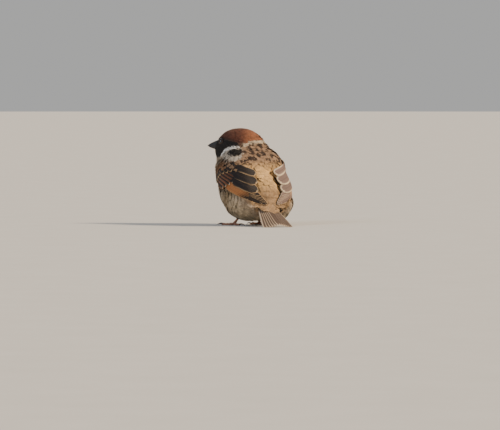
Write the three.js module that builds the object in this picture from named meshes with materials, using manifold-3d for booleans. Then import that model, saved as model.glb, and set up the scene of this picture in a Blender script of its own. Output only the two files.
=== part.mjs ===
// Tree sparrow, life size, standing at rest with its plumage fluffed out and its head turned to its left.
// Millimetres, +Z up. While it is built the trunk faces -Y, the bird's left is +X and the floor is Z = 0.
// The body is one smooth skin of plumage around named masses, parted into head, neck and trunk by thin
// cuts. Wings and tail are plates of overlapping feathers. The legs stand on small flats on the floor.
import * as THREE from "three";
import { mergeVertices } from "three/addons/utils/BufferGeometryUtils.js";
import Module from "manifold-3d";

const wasm = await Module();
wasm.setup();

const GAP = 0.3; // between neighbours that touch
const FLOOR_SINK = 0.25; // how far a pad would reach below the floor before its flat is cut
const REACH = 80; // further than any point of the plumage from the centres it is measured from
const SIDES = { left: 1, right: -1 };

// Head: its centre, and how far it is turned to the bird's left of the trunk.
const HEAD_AT = [3.5, -14, 61];
const HEAD_TURN = 38;
const TRUNK_CENTRE = [1, -1, 42];
const HEAD_CUT = { at: [4, -12, 54.5], facing: [0.185, -0.365, 1] };
const NECK_CUT = { at: [0, -6, 47.5], facing: [0, -0.46, 1] };

// Bill, in the head's frame: side, back and up from the head's centre.
const BILL = {
  base: -10.8,
  tip: -21.1,
  gape: -2.7,
  gapeTip: -2.9,
  ridge: 4.8,
  keel: 3.5,
  halfWidth: 3.5,
  tipSize: 0.28,
};

// Eyes: the ball's radius, its place in the head's frame, and how far it stands out of the plumage.
const EYE = { radius: 2.9, back: -7.2, up: 0.5, proud: 0.75 };

// Legs: ankle, hub of the toes and thickness. Each foot is turned outwards.
const ANKLE = [6, 8, 14];
const HUB = [11, -2, 1.1];
const SHANK = { ankle: 1.25, middle: 0.85, hub: 1.2 };
const FOOT_TURN = 12;
const TOES = {
  1: { spread: 176, length: 6.6, claw: 6.2, thick: 0.88 },
  2: { spread: -27, length: 8.6, claw: 4.2, thick: 0.78 },
  3: { spread: 0, length: 12, claw: 5, thick: 0.86 },
  4: { spread: 29, length: 9.2, claw: 4.2, thick: 0.76 },
};
const CLAW = { rise: 0.85, base: 0.6, tip: 0.24 };

// Tail: a slightly fanned and notched plate of twelve feathers, lying down to the floor behind.
const TAIL = {
  root: [1.6, 26, 16.6],
  tilt: 32,
  turn: -6,
  length: 31.8,
  rootHalfWidth: 5.6,
  tipHalfWidth: 11.8,
  notch: 2.4,
  arch: 1.6,
  thick: 0.9,
  feathers: 12,
  lobe: 0.8,
};

// A folded wing is drawn on a flat plan, which is wrapped round an axis inside the body: along the wing
// is an arc of the wrap's radius, and up is along the axis.
const WING_PLAN = {
  origin: [22, 12, 33],
  normal: [0.85, 0.5, 0.2],
  along: [-0.5, 0.8, -0.38],
  radius: 24,
};
const WING = {
  bed: -1.9, // level of the plumage under the wing
  bottom: -0.95, // levels of the lowest feathers' undersides and tops
  middle: -0.3,
  over: 0, // and of those that lie on them
  covertsTop: 1,
  tipLift: 0.5, // the wing's tip stands off the rump a little
  tertialsTop: 1.8,
  clear: 0.45, // between the wing and the plumage round it
  bedEdge: 4.5, // how far from the wing's outline the plumage begins to rise again
  bedEnd: 8.5, // and where it has risen
};

const COLOURS = {
  plumage: 0x8c7660,
  crown: 0x7a4527,
  feather: 0x5a4636,
  horn: 0x1c1a1a,
  leg: 0x9a6f55,
  claw: 0x3a2f2a,
  eye: 0x120c08,
};

const radians = THREE.MathUtils.degToRad;
const lerp = THREE.MathUtils.lerp;
const smooth = (t, from, to) => THREE.MathUtils.smoothstep(t, from, to);
const vector = (list) => new THREE.Vector3(...list);

// A point given in the head's frame, in the body's.
function inHead(side, back, up) {
  const turned = new THREE.Vector3(side, back, up);
  turned.applyAxisAngle(new THREE.Vector3(0, 0, 1), radians(HEAD_TURN));
  return turned.add(vector(HEAD_AT)).toArray();
}

// The masses under the plumage, each a tilted ellipsoid: its centre, its half sizes across, along and up,
// how far its back end tips down, its turn to the left, and how softly it runs into the ones before it.
function bodyMasses() {
  const masses = [];
  const add = (at, half, tilt = 0, turn = 0, soft = 6) => {
    const turned = new THREE.Euler(-radians(tilt), 0, radians(turn), "ZYX");
    const toLocal = new THREE.Matrix4().makeRotationFromEuler(turned).transpose();
    masses.push({ at, half, rows: toLocal.elements, soft });
  };
  const addToHead = (at, half, tilt, soft) => add(inHead(...at), half, tilt, HEAD_TURN, soft);

  add([0, 3.5, 30.5], [22.3, 29, 19.5], 52); // torso
  add([0, -5, 37], [19.5, 16, 17.5]); // breast
  add([0, 1, 24.5], [21.5, 20, 18.5]); // belly
  add([0, 6, 45], [15, 14, 11], 35, 0, 7); // mantle
  add([0, 18.5, 24.5], [14, 14, 12], 38); // rump
  add([0, 17, 14.5], [14, 14, 8.5]); // vent
  add([1, 24, 17.5], [8, 13, 5], 37, 0, 5); // coverts over the root of the tail
  add([11.5, 12, 18.5], [11, 14.5, 12]); // left flank
  add([14, 9, 31], [8.8, 21, 12], 32, -9); // bulk of the left wing
  add([-13.2, 15.4, 16.8], [11.8, 15.4, 12.4]); // right flank, the fluffier one
  add([-14.6, 10, 31], [8.8, 21, 12], 32, 9); // bulk of the right wing
  add([11.5, 4, 41.5], [10, 13.5, 10], 20, 0, 7); // left shoulder, lower under the turned head
  add([-12.6, 4.2, 46.5], [10.5, 14.5, 10.5], 20, 0, 7); // right shoulder
  add([-0.5, -5.5, 51], [13, 13, 11.5], 0, 0, 8); // neck
  add([4.5, -12, 47], [12.5, 11, 10], 0, 0, 8); // crop
  addToHead([0, 1.8, 0.8], [9.8, 12.5, 9.3], 0, 6); // skull
  addToHead([0, 10.8, -1.5], [10, 12, 10.3], 20, 6); // nape
  addToHead([0, -6.3, -2.2], [6, 7.8, 5], -24, 5); // brow
  addToHead([0, -5, -2.8], [5.6, 7.4, 5], 0, 5); // face
  for (const side of Object.values(SIDES)) {
    addToHead([side * 4.5, -1, -4], [5.2, 7.6, 5.6], 0, 4); // cheek
  }
  addToHead([0, -4.6, -8.5], [6.8, 7.6, 6.2], 0, 6); // throat
  return masses;
}

const MASSES = bodyMasses();

// Signed distance to one mass, nearly: k0 (k0 - 1) / k1, with k0 the length of the point divided by the
// half sizes and k1 its length divided by their squares.
function distanceToMass(mass, x, y, z) {
  const [cx, cy, cz] = mass.at;
  const [a, b, c] = mass.half;
  const m = mass.rows;
  const dx = x - cx;
  const dy = y - cy;
  const dz = z - cz;
  const u = (m[0] * dx + m[4] * dy + m[8] * dz) / a;
  const v = (m[1] * dx + m[5] * dy + m[9] * dz) / b;
  const w = (m[2] * dx + m[6] * dy + m[10] * dz) / c;
  const k0 = Math.hypot(u, v, w);
  const k1 = Math.hypot(u / a, v / b, w / c);
  return k1 > 1e-9 ? (k0 * (k0 - 1)) / k1 : -Math.min(a, b, c);
}

// Height above the plumage's outer surface, negative inside: the smooth union of all the masses.
function heightAbove(point) {
  let height = Infinity;
  for (const mass of MASSES) {
    const next = distanceToMass(mass, point.x, point.y, point.z);
    if (height === Infinity) {
      height = next;
      continue;
    }
    const near = Math.max(mass.soft - Math.abs(height - next), 0) / mass.soft;
    height = Math.min(height, next) - (near * near * mass.soft) / 4;
  }
  return height;
}

// How far from a start, in a direction, the height above the plumage first rises past a level.
function distanceOut(start, direction, level = 0) {
  let low = 0;
  let high = REACH;
  for (let turn = 0; turn < 22; turn += 1) {
    const middle = (low + high) / 2;
    const point = start.clone().addScaledVector(direction, middle);
    if (heightAbove(point) < level) low = middle;
    else high = middle;
  }
  return (low + high) / 2;
}

// ---- Solids

function closed(geometry) {
  const bare = geometry.index ? geometry.toNonIndexed() : geometry.clone();
  bare.deleteAttribute("normal");
  bare.deleteAttribute("uv");
  return mergeVertices(bare, 1e-4);
}

// A closed geometry as a solid, turned right side out if a mapping mirrored it.
function solidOf(geometry) {
  const { index, attributes } = closed(geometry);
  const corners = Array.from(index.array);
  const triangles = [];
  for (let i = 0; i < corners.length; i += 3) {
    const [a, b, c] = corners.slice(i, i + 3);
    if (a !== b && b !== c && c !== a) triangles.push(a, b, c);
  }
  const build = (triVerts) =>
    new wasm.Manifold(
      new wasm.Mesh({ numProp: 3, vertProperties: attributes.position.array, triVerts }),
    );
  const made = build(new Uint32Array(triangles));
  return made.volume() > 0 ? made : build(new Uint32Array(triangles.reverse()));
}

// Every vertex of a three.js geometry moved by a mapping from its place to a new one.
function mapped(geometry, mapping) {
  const position = geometry.attributes.position;
  const place = new THREE.Vector3();
  for (let i = 0; i < position.count; i += 1) {
    place.fromBufferAttribute(position, i);
    position.setXYZ(i, ...mapping(place).toArray());
  }
  return solidOf(geometry);
}

// A sphere pushed out from a centre to the plumage's outer surface, or to the level given at each place
// of it.
function plumageFrom(centre, around, down, levelAt = () => 0) {
  const start = vector(centre);
  const pushed = (place) => {
    const direction = place.clone().normalize();
    const at = (level) =>
      start.clone().addScaledVector(direction, distanceOut(start, direction, level));
    return at(levelAt(at(0)));
  };
  return mapped(new THREE.SphereGeometry(1, around, down), pushed);
}

// Everything on the side of a plane that it faces, as a large block.
function halfSpace({ at, facing }, setBack = 0) {
  const size = 3 * REACH;
  const normal = vector(facing).normalize();
  const block = new THREE.BoxGeometry(size, size, size);
  block.applyQuaternion(
    new THREE.Quaternion().setFromUnitVectors(new THREE.Vector3(0, 0, 1), normal),
  );
  const middle = vector(at).addScaledVector(normal, size / 2 + setBack);
  block.translate(...middle.toArray());
  return solidOf(block);
}

// The largest of a solid's bodies, without the slivers that a cut leaves.
function largest(solid) {
  return solid.decompose().reduce((a, b) => (b.volume() > a.volume() ? b : a));
}

// A round rod along a curve, its half thickness across and upwards given along its length. What would
// reach below the floor is flat on it.
function rod(curve, halfAcross, halfUp, around, steps) {
  const up = new THREE.Vector3(0, 0, 1);
  const ring = (place) => {
    const t = THREE.MathUtils.clamp(place.y + 0.5, 0, 1);
    const tangent = curve.getTangent(t);
    const across = new THREE.Vector3().crossVectors(tangent, up).normalize();
    const over = new THREE.Vector3().crossVectors(across, tangent).normalize();
    const point = curve
      .getPoint(t)
      .addScaledVector(across, place.x * halfAcross(t))
      .addScaledVector(over, place.z * halfUp(t));
    return point.setZ(Math.max(point.z, 0));
  };
  return mapped(new THREE.CylinderGeometry(1, 1, 1, around, steps), ring);
}

// ---- Body

function eyeCentre(side) {
  const start = vector(inHead(0, EYE.back, EYE.up));
  const outward = vector(inHead(side, EYE.back, EYE.up)).sub(start);
  const surface = distanceOut(start, outward);
  return start.addScaledVector(outward, surface + EYE.proud - EYE.radius);
}

function eyeBall(side, radius) {
  const ball = new THREE.SphereGeometry(radius, 12, 8);
  ball.translate(...eyeCentre(side).toArray());
  return solidOf(ball);
}

// One half of the bill: a half-round horn on a flat bite, thinning from its base to the tip. Its outer edge
// is an arc of a power curve, fuller than a straight cone.
function billHalf(up, grow = 0) {
  const height = up > 0 ? BILL.ridge : BILL.keel;
  const fullness = up > 0 ? 0.72 : 0.85;
  const shorter = up > 0 ? 0 : 0.7;
  const shape = (place) => {
    const t = place.y + 0.5;
    const thin = Math.max((1 - t) ** fullness, BILL.tipSize / height);
    const back = lerp(BILL.base + grow, BILL.tip + shorter - grow, t);
    const bite = lerp(BILL.gape, BILL.gapeTip, t) + (up * GAP) / 2 - up * grow;
    const side = place.x * (BILL.halfWidth * Math.max((1 - t) ** 0.9, 0.09) + grow);
    const over = Math.max(up * place.z, 0) * (height * thin + 2 * grow);
    return vector(inHead(side, back, bite + up * over));
  };
  return mapped(new THREE.CylinderGeometry(1, 1, 1, 10, 6), shape);
}

// ---- Tail

// A point of the tail's plate: across from -1 to 1, along from 0 at the root to 1 at the tips.
function tailPoint(across, along, height) {
  const halfWidth = lerp(TAIL.rootHalfWidth, TAIL.tipHalfWidth, Math.max(along, 0) ** 0.9);
  const lobes = Math.abs(Math.sin((across * TAIL.feathers * Math.PI) / 2));
  const ends = TAIL.length - TAIL.notch * (1 - Math.abs(across)) + TAIL.lobe * (lobes - 1);
  const corner = 1 - 0.06 * smooth(Math.abs(across), 0.86, 1);
  const local = new THREE.Vector3(
    across * halfWidth,
    along * ends * corner,
    height - TAIL.arch * across * across,
  );
  local.applyEuler(new THREE.Euler(-radians(TAIL.tilt), 0, radians(TAIL.turn), "ZYX"));
  local.add(vector(TAIL.root));
  return local.setZ(Math.max(local.z, 0));
}

function tailPlate(grow = 0) {
  const columns = grow > 0 ? 4 : 2 * TAIL.feathers;
  const plate = new THREE.BoxGeometry(2, 1, 1, columns, 3, 1);
  return mapped(plate, (place) =>
    tailPoint(
      place.x * (1 + grow / TAIL.rootHalfWidth),
      place.y + 0.5 - grow / TAIL.length,
      place.z * (TAIL.thick + 2 * grow),
    ),
  );
}

// ---- Wings

const PLAN_NORMAL = vector(WING_PLAN.normal).normalize();
const PLAN_ALONG = vector(WING_PLAN.along);
PLAN_ALONG.addScaledVector(PLAN_NORMAL, -PLAN_ALONG.dot(PLAN_NORMAL)).normalize();
const PLAN_UP = new THREE.Vector3().crossVectors(PLAN_NORMAL, PLAN_ALONG);
const PLAN_CENTRE = vector(WING_PLAN.origin).addScaledVector(PLAN_NORMAL, -WING_PLAN.radius);

// A point of the wing's plan, in millimetres along and up, wrapped onto the plumage at a level above it.
function wrapped(side, along, up, level) {
  const mirror = new THREE.Vector3(side, 1, 1);
  const turn = along / WING_PLAN.radius;
  const start = PLAN_CENTRE.clone().addScaledVector(PLAN_UP, up).multiply(mirror);
  const outward = PLAN_NORMAL.clone()
    .multiplyScalar(Math.cos(turn))
    .addScaledVector(PLAN_ALONG, Math.sin(turn))
    .multiply(mirror);
  return start.addScaledVector(outward, distanceOut(start, outward, level));
}

// Rounded ends of feathers along an edge, 0 between two feathers and 1 at the middle of one.
const lobesAlong = (t, count) => Math.sqrt(Math.abs(Math.sin(Math.PI * count * t)));

// The three groups of wing feathers. Each has its extent across the wing and, at a place across it, its
// front and back ends along the wing. Its underside is lower where no other feathers lie beneath it.
const WING_GROUPS = {
  // Secondaries and primaries: from under the coverts back to the tip, which runs to a point.
  flight: {
    across: [-8.3, 3.5],
    cells: [10, 7],
    ends(up, t) {
      const tip = 25.4 - Math.max(up + 5, 0) ** 1.2 - 5 * Math.max(-5.4 - up, 0) ** 0.9;
      return [-6, tip - 1.1 * (1 - lobesAlong(t, 5))];
    },
    levels(along) {
      const lift = WING.tipLift * smooth(along, 16, 24);
      return [WING.bottom + lift, WING.middle + lift];
    },
  },
  // Coverts: from the wrist back to the round tips of the greater coverts.
  coverts: {
    across: [-8, 11],
    cells: [16, 5],
    ends(up, t) {
      const front = -27 + 0.12 * (up - 1.5) ** 2;
      const back = 4.9 - 0.09 * (up - 4) ** 2;
      return [front, back - 0.9 * (1 - lobesAlong(t, 8))];
    },
    levels(along, up) {
      const alone = Math.max(1 - smooth(along, -11.5, -8.5), smooth(up, 5, 7));
      const round = smooth(along, -27, -18);
      return [lerp(WING.over, WING.bottom, alone), lerp(WING.middle, WING.covertsTop, round)];
    },
  },
  // Three tertials, the longest and outermost lowest.
  tertials: {
    across: [-1.4, 15.4],
    cells: [12, 4],
    ends(up, t) {
      const tips = [19.8, 17.8, 14.2];
      const feather = Math.min(Math.floor(t * 3), 2);
      return [5.4 - 3 * smooth(t, 0.5, 1), tips[feather] - 3 * (1 - lobesAlong(t, 3))];
    },
    levels: (along, up) => [
      lerp(WING.over, WING.bottom, smooth(up, 5, 7)),
      WING.tertialsTop,
    ],
  },
};

function wingPlate(side, { across, cells, ends, levels }, grow = 0) {
  const plate = new THREE.BoxGeometry(1, 1, 1, cells[0], cells[1], 1);
  const laid = (place) => {
    const t = place.x + 0.5;
    const up = lerp(across[0], across[1], t);
    const [front, back] = ends(up, t);
    const along = lerp(front - grow, back + grow, place.y + 0.5);
    const [low, high] = levels(along, up);
    const level = place.z > 0 ? high + grow : low - grow;
    return wrapped(side, along, up + 2 * grow * place.x, level);
  };
  return mapped(plate, laid);
}

// The level of the trunk's plumage at a point of it: lower under a wing, and rising again beside it.
function bedLevel(point) {
  const local = new THREE.Vector3(Math.abs(point.x), point.y, point.z).sub(PLAN_CENTRE);
  const turn = Math.atan2(local.dot(PLAN_ALONG), local.dot(PLAN_NORMAL));
  const along = turn * WING_PLAN.radius;
  const up = local.dot(PLAN_UP);
  const distances = Object.values(WING_GROUPS).map(({ across, ends }) => {
    const t = THREE.MathUtils.clamp((up - across[0]) / (across[1] - across[0]), 0, 1);
    const nearest = lerp(across[0], across[1], t);
    const [front, back] = ends(nearest, t);
    return Math.hypot(up - nearest, Math.max(front - along, along - back, 0));
  });
  return lerp(WING.bed, 0, smooth(Math.min(...distances), WING.bedEdge, WING.bedEnd));
}

// ---- Legs and feet

const mirrored = (list, side) => vector([side * list[0], list[1], list[2]]);

function shank(side, grow = 0) {
  const ankle = mirrored(ANKLE, side);
  const hub = mirrored(HUB, side);
  const curve = new THREE.QuadraticBezierCurve3(
    ankle,
    ankle.clone().lerp(hub, 0.5).add(new THREE.Vector3(0, 0.5, 0.3)),
    hub,
  );
  const half = (t) => {
    const ends = lerp(SHANK.ankle, SHANK.middle, smooth(t, 0, 0.3));
    return lerp(ends, SHANK.hub, smooth(t, 0.78, 1)) + grow;
  };
  return rod(curve, half, half, 8, 5);
}

// The direction of a toe on the floor.
function toeHeading(side, toe) {
  const angle = radians(FOOT_TURN + toe.spread);
  return new THREE.Vector3(side * Math.sin(angle), -Math.cos(angle), 0);
}

// A toe lies along the floor from the hub. Its pads make it thicker at each joint. Grown, it also takes in
// the hub, so that what is cut to clear it leaves no sliver there.
function toeRod(side, toe, grow = 0) {
  const hub = mirrored(HUB, side);
  const heading = toeHeading(side, toe);
  const lying = toe.thick - FLOOR_SINK;
  const start = grow > 0 ? -grow : SHANK.hub + GAP;
  const at = (share, height) =>
    hub.clone().setZ(height).addScaledVector(heading, lerp(start, toe.length, share));
  const curve = new THREE.CatmullRomCurve3([
    at(0, lying + 0.55),
    at(0.2, lying + 0.3),
    at(0.45, lying),
    at(0.75, lying),
    at(1, lying + 0.1),
  ]);
  const joints = (t) => 1 - 0.1 * Math.sin(2 * Math.PI * (3 * t + 0.1)) - 0.12 * t;
  return rod(
    curve,
    (t) => toe.thick * joints(t) + grow,
    (t) => toe.thick * joints(t) + grow,
    6,
    6,
  );
}

// A claw rises a little from the end of its toe and curves down to the floor.
function clawRod(side, toe) {
  const hub = mirrored(HUB, side);
  const heading = toeHeading(side, toe);
  const low = toe.thick - FLOOR_SINK + 0.1;
  const at = (ahead, height) =>
    hub.clone().setZ(height).addScaledVector(heading, toe.length + ahead);
  const curve = new THREE.CubicBezierCurve3(
    at(1.3 * GAP, low),
    at(0.35 * toe.claw, low + CLAW.rise),
    at(0.8 * toe.claw, low + 0.5 * CLAW.rise),
    at(toe.claw, CLAW.tip - 0.1),
  );
  const half = (t) => lerp(CLAW.base, CLAW.tip, t ** 0.8);
  return rod(curve, half, (t) => 1.15 * half(t), 6, 3);
}

// ---- The bird

const bird = new THREE.Group();

function addNode(name, solid, colour, roughness) {
  const { vertProperties, numProp, triVerts } = solid.getMesh();
  const places = new Float32Array((vertProperties.length / numProp) * 3);
  for (let i = 0; i < places.length / 3; i += 1) {
    places.set(vertProperties.subarray(i * numProp, i * numProp + 3), i * 3);
  }
  const geometry = new THREE.BufferGeometry();
  geometry.setAttribute("position", new THREE.BufferAttribute(places, 3));
  geometry.setIndex(new THREE.BufferAttribute(triVerts, 1));
  geometry.computeVertexNormals();
  const material = new THREE.MeshStandardMaterial({ color: colour, roughness, metalness: 0 });
  const mesh = new THREE.Mesh(geometry, material);
  mesh.name = name;
  bird.add(mesh);
}

function addWing(side, word) {
  for (const [name, group] of Object.entries(WING_GROUPS)) {
    addNode(`wing_${word}_${name}`, wingPlate(side, group), COLOURS.feather, 0.8);
  }
}

function addFoot(side, word) {
  const middleToe = toeRod(side, TOES[3], GAP);
  addNode(`leg_${word}`, shank(side), COLOURS.leg, 0.6);
  for (const [number, toe] of Object.entries(TOES)) {
    const lying = toeRod(side, toe).subtract(shank(side, GAP));
    const beside = toe === TOES[2] || toe === TOES[4];
    addNode(`toe_${word}_${number}`, beside ? lying.subtract(middleToe) : lying, COLOURS.leg, 0.6);
    addNode(`claw_${word}_${number}`, clawRod(side, toe), COLOURS.claw, 0.4);
  }
}

function addBody() {
  const whole = plumageFrom(TRUNK_CENTRE, 44, 32, bedLevel);
  let head = plumageFrom(HEAD_AT, 32, 22).intersect(halfSpace(HEAD_CUT, GAP / 2));
  const neck = whole
    .subtract(halfSpace(HEAD_CUT, -GAP / 2))
    .intersect(halfSpace(NECK_CUT, GAP / 2));
  let trunk = whole
    .subtract(halfSpace(HEAD_CUT, -GAP / 2))
    .subtract(halfSpace(NECK_CUT, -GAP / 2))
    .subtract(tailPlate(GAP));

  for (const up of [1, -1]) head = head.subtract(billHalf(up, GAP));
  for (const [word, side] of Object.entries(SIDES)) {
    head = head.subtract(eyeBall(side, EYE.radius + GAP));
    trunk = trunk.subtract(shank(side, GAP));
    for (const group of Object.values(WING_GROUPS)) {
      trunk = trunk.subtract(wingPlate(side, group, WING.clear));
    }
    addNode(`eye_${word}`, eyeBall(side, EYE.radius), COLOURS.eye, 0.1);
  }

  addNode("head", head, COLOURS.crown, 0.9);
  addNode("neck", neck, COLOURS.plumage, 0.9);
  addNode("trunk", largest(trunk), COLOURS.plumage, 0.9);
}

addBody();
addNode("bill_upper", billHalf(1), COLOURS.horn, 0.35);
addNode("bill_lower", billHalf(-1), COLOURS.horn, 0.35);
addNode("tail", tailPlate(), COLOURS.feather, 0.8);
for (const [word, side] of Object.entries(SIDES)) {
  addWing(side, word);
  addFoot(side, word);
}

// The origin is on the floor under the middle of the bird's bounding box.
const box = new THREE.Box3().setFromObject(bird);
const middle = box.getCenter(new THREE.Vector3());
bird.position.set(-middle.x, -middle.y, -box.min.z);

export default bird;
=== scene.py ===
"""A Eurasian tree sparrow, life size, standing with its plumage fluffed and its head turned to its left.

Shapes are worked out in millimetres with the trunk facing -Y and the bird's left at +X, and put into their
meshes in metres in the frame's own place.
"""
import math

import bpy
import numpy as np
from bpy.props import FloatProperty, FloatVectorProperty, IntProperty, PointerProperty
from mathutils import Matrix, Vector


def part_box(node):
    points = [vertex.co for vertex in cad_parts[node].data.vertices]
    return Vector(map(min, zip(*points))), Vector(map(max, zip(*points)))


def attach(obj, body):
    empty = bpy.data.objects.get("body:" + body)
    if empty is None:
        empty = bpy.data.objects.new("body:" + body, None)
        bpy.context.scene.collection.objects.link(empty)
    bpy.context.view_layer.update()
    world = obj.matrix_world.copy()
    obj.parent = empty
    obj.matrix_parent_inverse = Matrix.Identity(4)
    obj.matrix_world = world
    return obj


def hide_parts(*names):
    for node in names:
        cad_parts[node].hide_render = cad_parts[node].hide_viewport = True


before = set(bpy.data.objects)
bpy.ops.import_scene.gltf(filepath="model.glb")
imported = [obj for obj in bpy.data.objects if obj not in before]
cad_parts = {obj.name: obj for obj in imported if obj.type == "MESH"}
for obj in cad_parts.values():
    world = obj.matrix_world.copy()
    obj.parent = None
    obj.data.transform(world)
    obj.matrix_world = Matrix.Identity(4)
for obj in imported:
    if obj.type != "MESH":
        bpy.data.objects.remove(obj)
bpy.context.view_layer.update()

bl_info = {
    "name": "Tree sparrow",
    "version": (1, 0, 0),
    "blender": (4, 5, 0),
    "location": "View3D > Sidebar > Sparrow",
    "description": "Skin, plumage, bill, eyes and feet of a still tree sparrow",
    "category": "Object",
}

# ---- Small arithmetic


def smooth(value, low, high):
    """0 below low, 1 above high and 3t^2 - 2t^3 between them."""
    t = np.clip((value - low) / (high - low), 0, 1)
    return t * t * (3 - 2 * t)


def mix(a, b, t):
    """a where t is 0, b where t is 1 and a straight blend between."""
    return a + (b - a) * t


def unit(vectors):
    """Vectors divided by their lengths."""
    return vectors / np.maximum(np.linalg.norm(vectors, axis=-1, keepdims=True), 1e-9)


def tint(red, green, blue):
    """A colour of 0 to 255 display values as linear light."""
    c = np.array([red, green, blue]) / 255
    return np.where(c > 0.04045, ((c + 0.055) / 1.055) ** 2.4, c / 12.92)


# ---- The plumage's outer surface

HEAD_AT = np.array([3.5, -14.0, 61.0])
HEAD_TURN = 38
TRUNK_AT = np.array([1.0, -1.0, 42.0])
BILL_BASE, BILL_TIP, GAPE = -10.8, -21.1, -2.7
EYE_RADIUS, EYE_BACK, EYE_UP, EYE_PROUD = 2.9, -7.2, 0.5, 0.75
SIDES = {"left": 1, "right": -1}


def laid(tilt, turn):
    """Columns are the axes of a mass whose back end tips down by tilt, turned to the left by turn."""
    a, b = math.radians(tilt), math.radians(turn)
    tip = np.array([[1, 0, 0], [0, math.cos(a), math.sin(a)], [0, -math.sin(a), math.cos(a)]])
    yaw = np.array([[math.cos(b), -math.sin(b), 0], [math.sin(b), math.cos(b), 0], [0, 0, 1]])
    return yaw @ tip


# The head's own axes as rows: side, back and up.
HEAD_ROWS = laid(0, HEAD_TURN).T


def in_head(local):
    """A place given as side, back and up in the head's frame, in the body's."""
    return HEAD_AT + np.asarray(local, float) @ HEAD_ROWS


def to_head(points):
    """Places of the body's frame as side, back and up from the head's centre."""
    return (points - HEAD_AT) @ HEAD_ROWS.T


def body_masses():
    """Centre, half sizes, axes and softness of each mass under the plumage, in blending order."""
    on_head = lambda at, half, tilt, soft: (in_head(at), half, laid(tilt, HEAD_TURN), soft)
    plain = lambda at, half, tilt=0, turn=0, soft=6: (np.array(at, float), half, laid(tilt, turn), soft)
    return [
        plain((0, 3.5, 30.5), (22.3, 29, 19.5), 52),
        plain((0, -5, 37), (19.5, 16, 17.5)),
        plain((0, 1, 24.5), (21.5, 20, 18.5)),
        plain((0, 6, 45), (15, 14, 11), 35, 0, 7),
        plain((0, 18.5, 24.5), (14, 14, 12), 38),
        plain((0, 17, 14.5), (14, 14, 8.5)),
        plain((1, 24, 17.5), (8, 13, 5), 37, 0, 5),
        plain((11.5, 12, 18.5), (11, 14.5, 12)),
        plain((14, 9, 31), (8.8, 21, 12), 32, -9),
        plain((-13.2, 15.4, 16.8), (11.8, 15.4, 12.4)),
        plain((-14.6, 10, 31), (8.8, 21, 12), 32, 9),
        plain((11.5, 4, 41.5), (10, 13.5, 10), 20, 0, 7),
        plain((-12.6, 4.2, 46.5), (10.5, 14.5, 10.5), 20, 0, 7),
        plain((-0.5, -5.5, 51), (13, 13, 11.5), 0, 0, 8),
        plain((4.5, -12, 47), (12.5, 11, 10), 0, 0, 8),
        on_head((0, 1.8, 0.8), (9.8, 12.5, 9.3), 0, 6),
        on_head((0, 10.8, -1.5), (10, 12, 10.3), 20, 6),
        on_head((0, -6.3, -2.2), (6, 7.8, 5), -24, 5),
        on_head((0, -5, -2.8), (5.6, 7.4, 5), 0, 5),
        on_head((4.5, -1, -4), (5.2, 7.6, 5.6), 0, 4),
        on_head((-4.5, -1, -4), (5.2, 7.6, 5.6), 0, 4),
        on_head((0, -4.6, -8.5), (6.8, 7.6, 6.2), 0, 6),
    ]


MASSES = body_masses()
FARTHEST, HALVINGS = 80, 17
# The tail's plate, for feathers that run over it.
TAIL_MASS = (np.array([3.2, 40.0, 7.4]), (10, 19, 1.1), laid(32, -6), 2)


def plumage(points, masses=MASSES):
    """Height above the plumage's outer surface, and the outward direction there.

    A mass's distance is k0 (k0 - 1) / k1, with k0 the length of the local point over the half sizes and k1
    over their squares. For a softness k, two distances d and e are joined as min(d, e) - n^2 k / 4, with
    n = max(k - |d - e|, 0) / k, and their directions are blended by n / 2.
    """
    height = slope = None
    for centre, half, axes, soft in masses:
        local = (points - centre) @ axes / half
        steep = local / half
        k0 = np.linalg.norm(local, axis=-1)
        k1 = np.maximum(np.linalg.norm(steep, axis=-1), 1e-9)
        distance = k0 * (k0 - 1) / k1
        outward = (steep / k1[..., None]) @ axes.T
        if height is None:
            height, slope = distance, outward
            continue
        near = np.maximum(soft - np.abs(height - distance), 0) / soft
        share = np.where(distance < height, 1 - near / 2, near / 2)
        height = np.minimum(height, distance) - near * near * soft / 4
        slope = slope + (outward - slope) * share[..., None]
    return height, unit(slope)


def reach(start, outward, level):
    """How far from a start, along a direction, the height passes a level, by halving 0 to FARTHEST."""
    low = np.zeros(np.broadcast(start[..., 0], outward[..., 0], level).shape)
    high = low + FARTHEST
    for _ in range(HALVINGS):
        middle = (low + high) / 2
        inside = plumage(start + outward * middle[..., None])[0] < level
        low, high = np.where(inside, middle, low), np.where(inside, high, middle)
    return (low + high) / 2


BILL_AT = in_head((0, BILL_BASE, GAPE))
BODY_AXIS = np.array([0, 0.616, -0.788])  # from the shoulders to the root of the tail
DORSAL = np.array([0, 0.788, 0.616])


def eye_centre(side):
    """The ball's centre: on the side axis, sunk so that it stands EYE_PROUD out of the plumage."""
    start = in_head((0, EYE_BACK, EYE_UP))
    outward = HEAD_ROWS[0] * side
    return start + outward * (reach(start, outward, 0.0) + EYE_PROUD - EYE_RADIUS)


EYES = {word: eye_centre(side) for word, side in SIDES.items()}
left_box = np.array([list(corner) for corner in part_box("eye_left")]) * 1000
# What takes the shapes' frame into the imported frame.
SHIFT = left_box.mean(axis=0) - EYES["left"]

# ---- The folded wing's plan, wrapped on the plumage

WRAP = 24
PLAN_NORMAL = unit(np.array([0.85, 0.5, 0.2]))
PLAN_ALONG = np.array([-0.5, 0.8, -0.38])
PLAN_ALONG = unit(PLAN_ALONG - PLAN_NORMAL * (PLAN_ALONG @ PLAN_NORMAL))
PLAN_UP = np.cross(PLAN_NORMAL, PLAN_ALONG)
PLAN_AT = np.array([22, 12, 33]) - PLAN_NORMAL * WRAP


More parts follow.
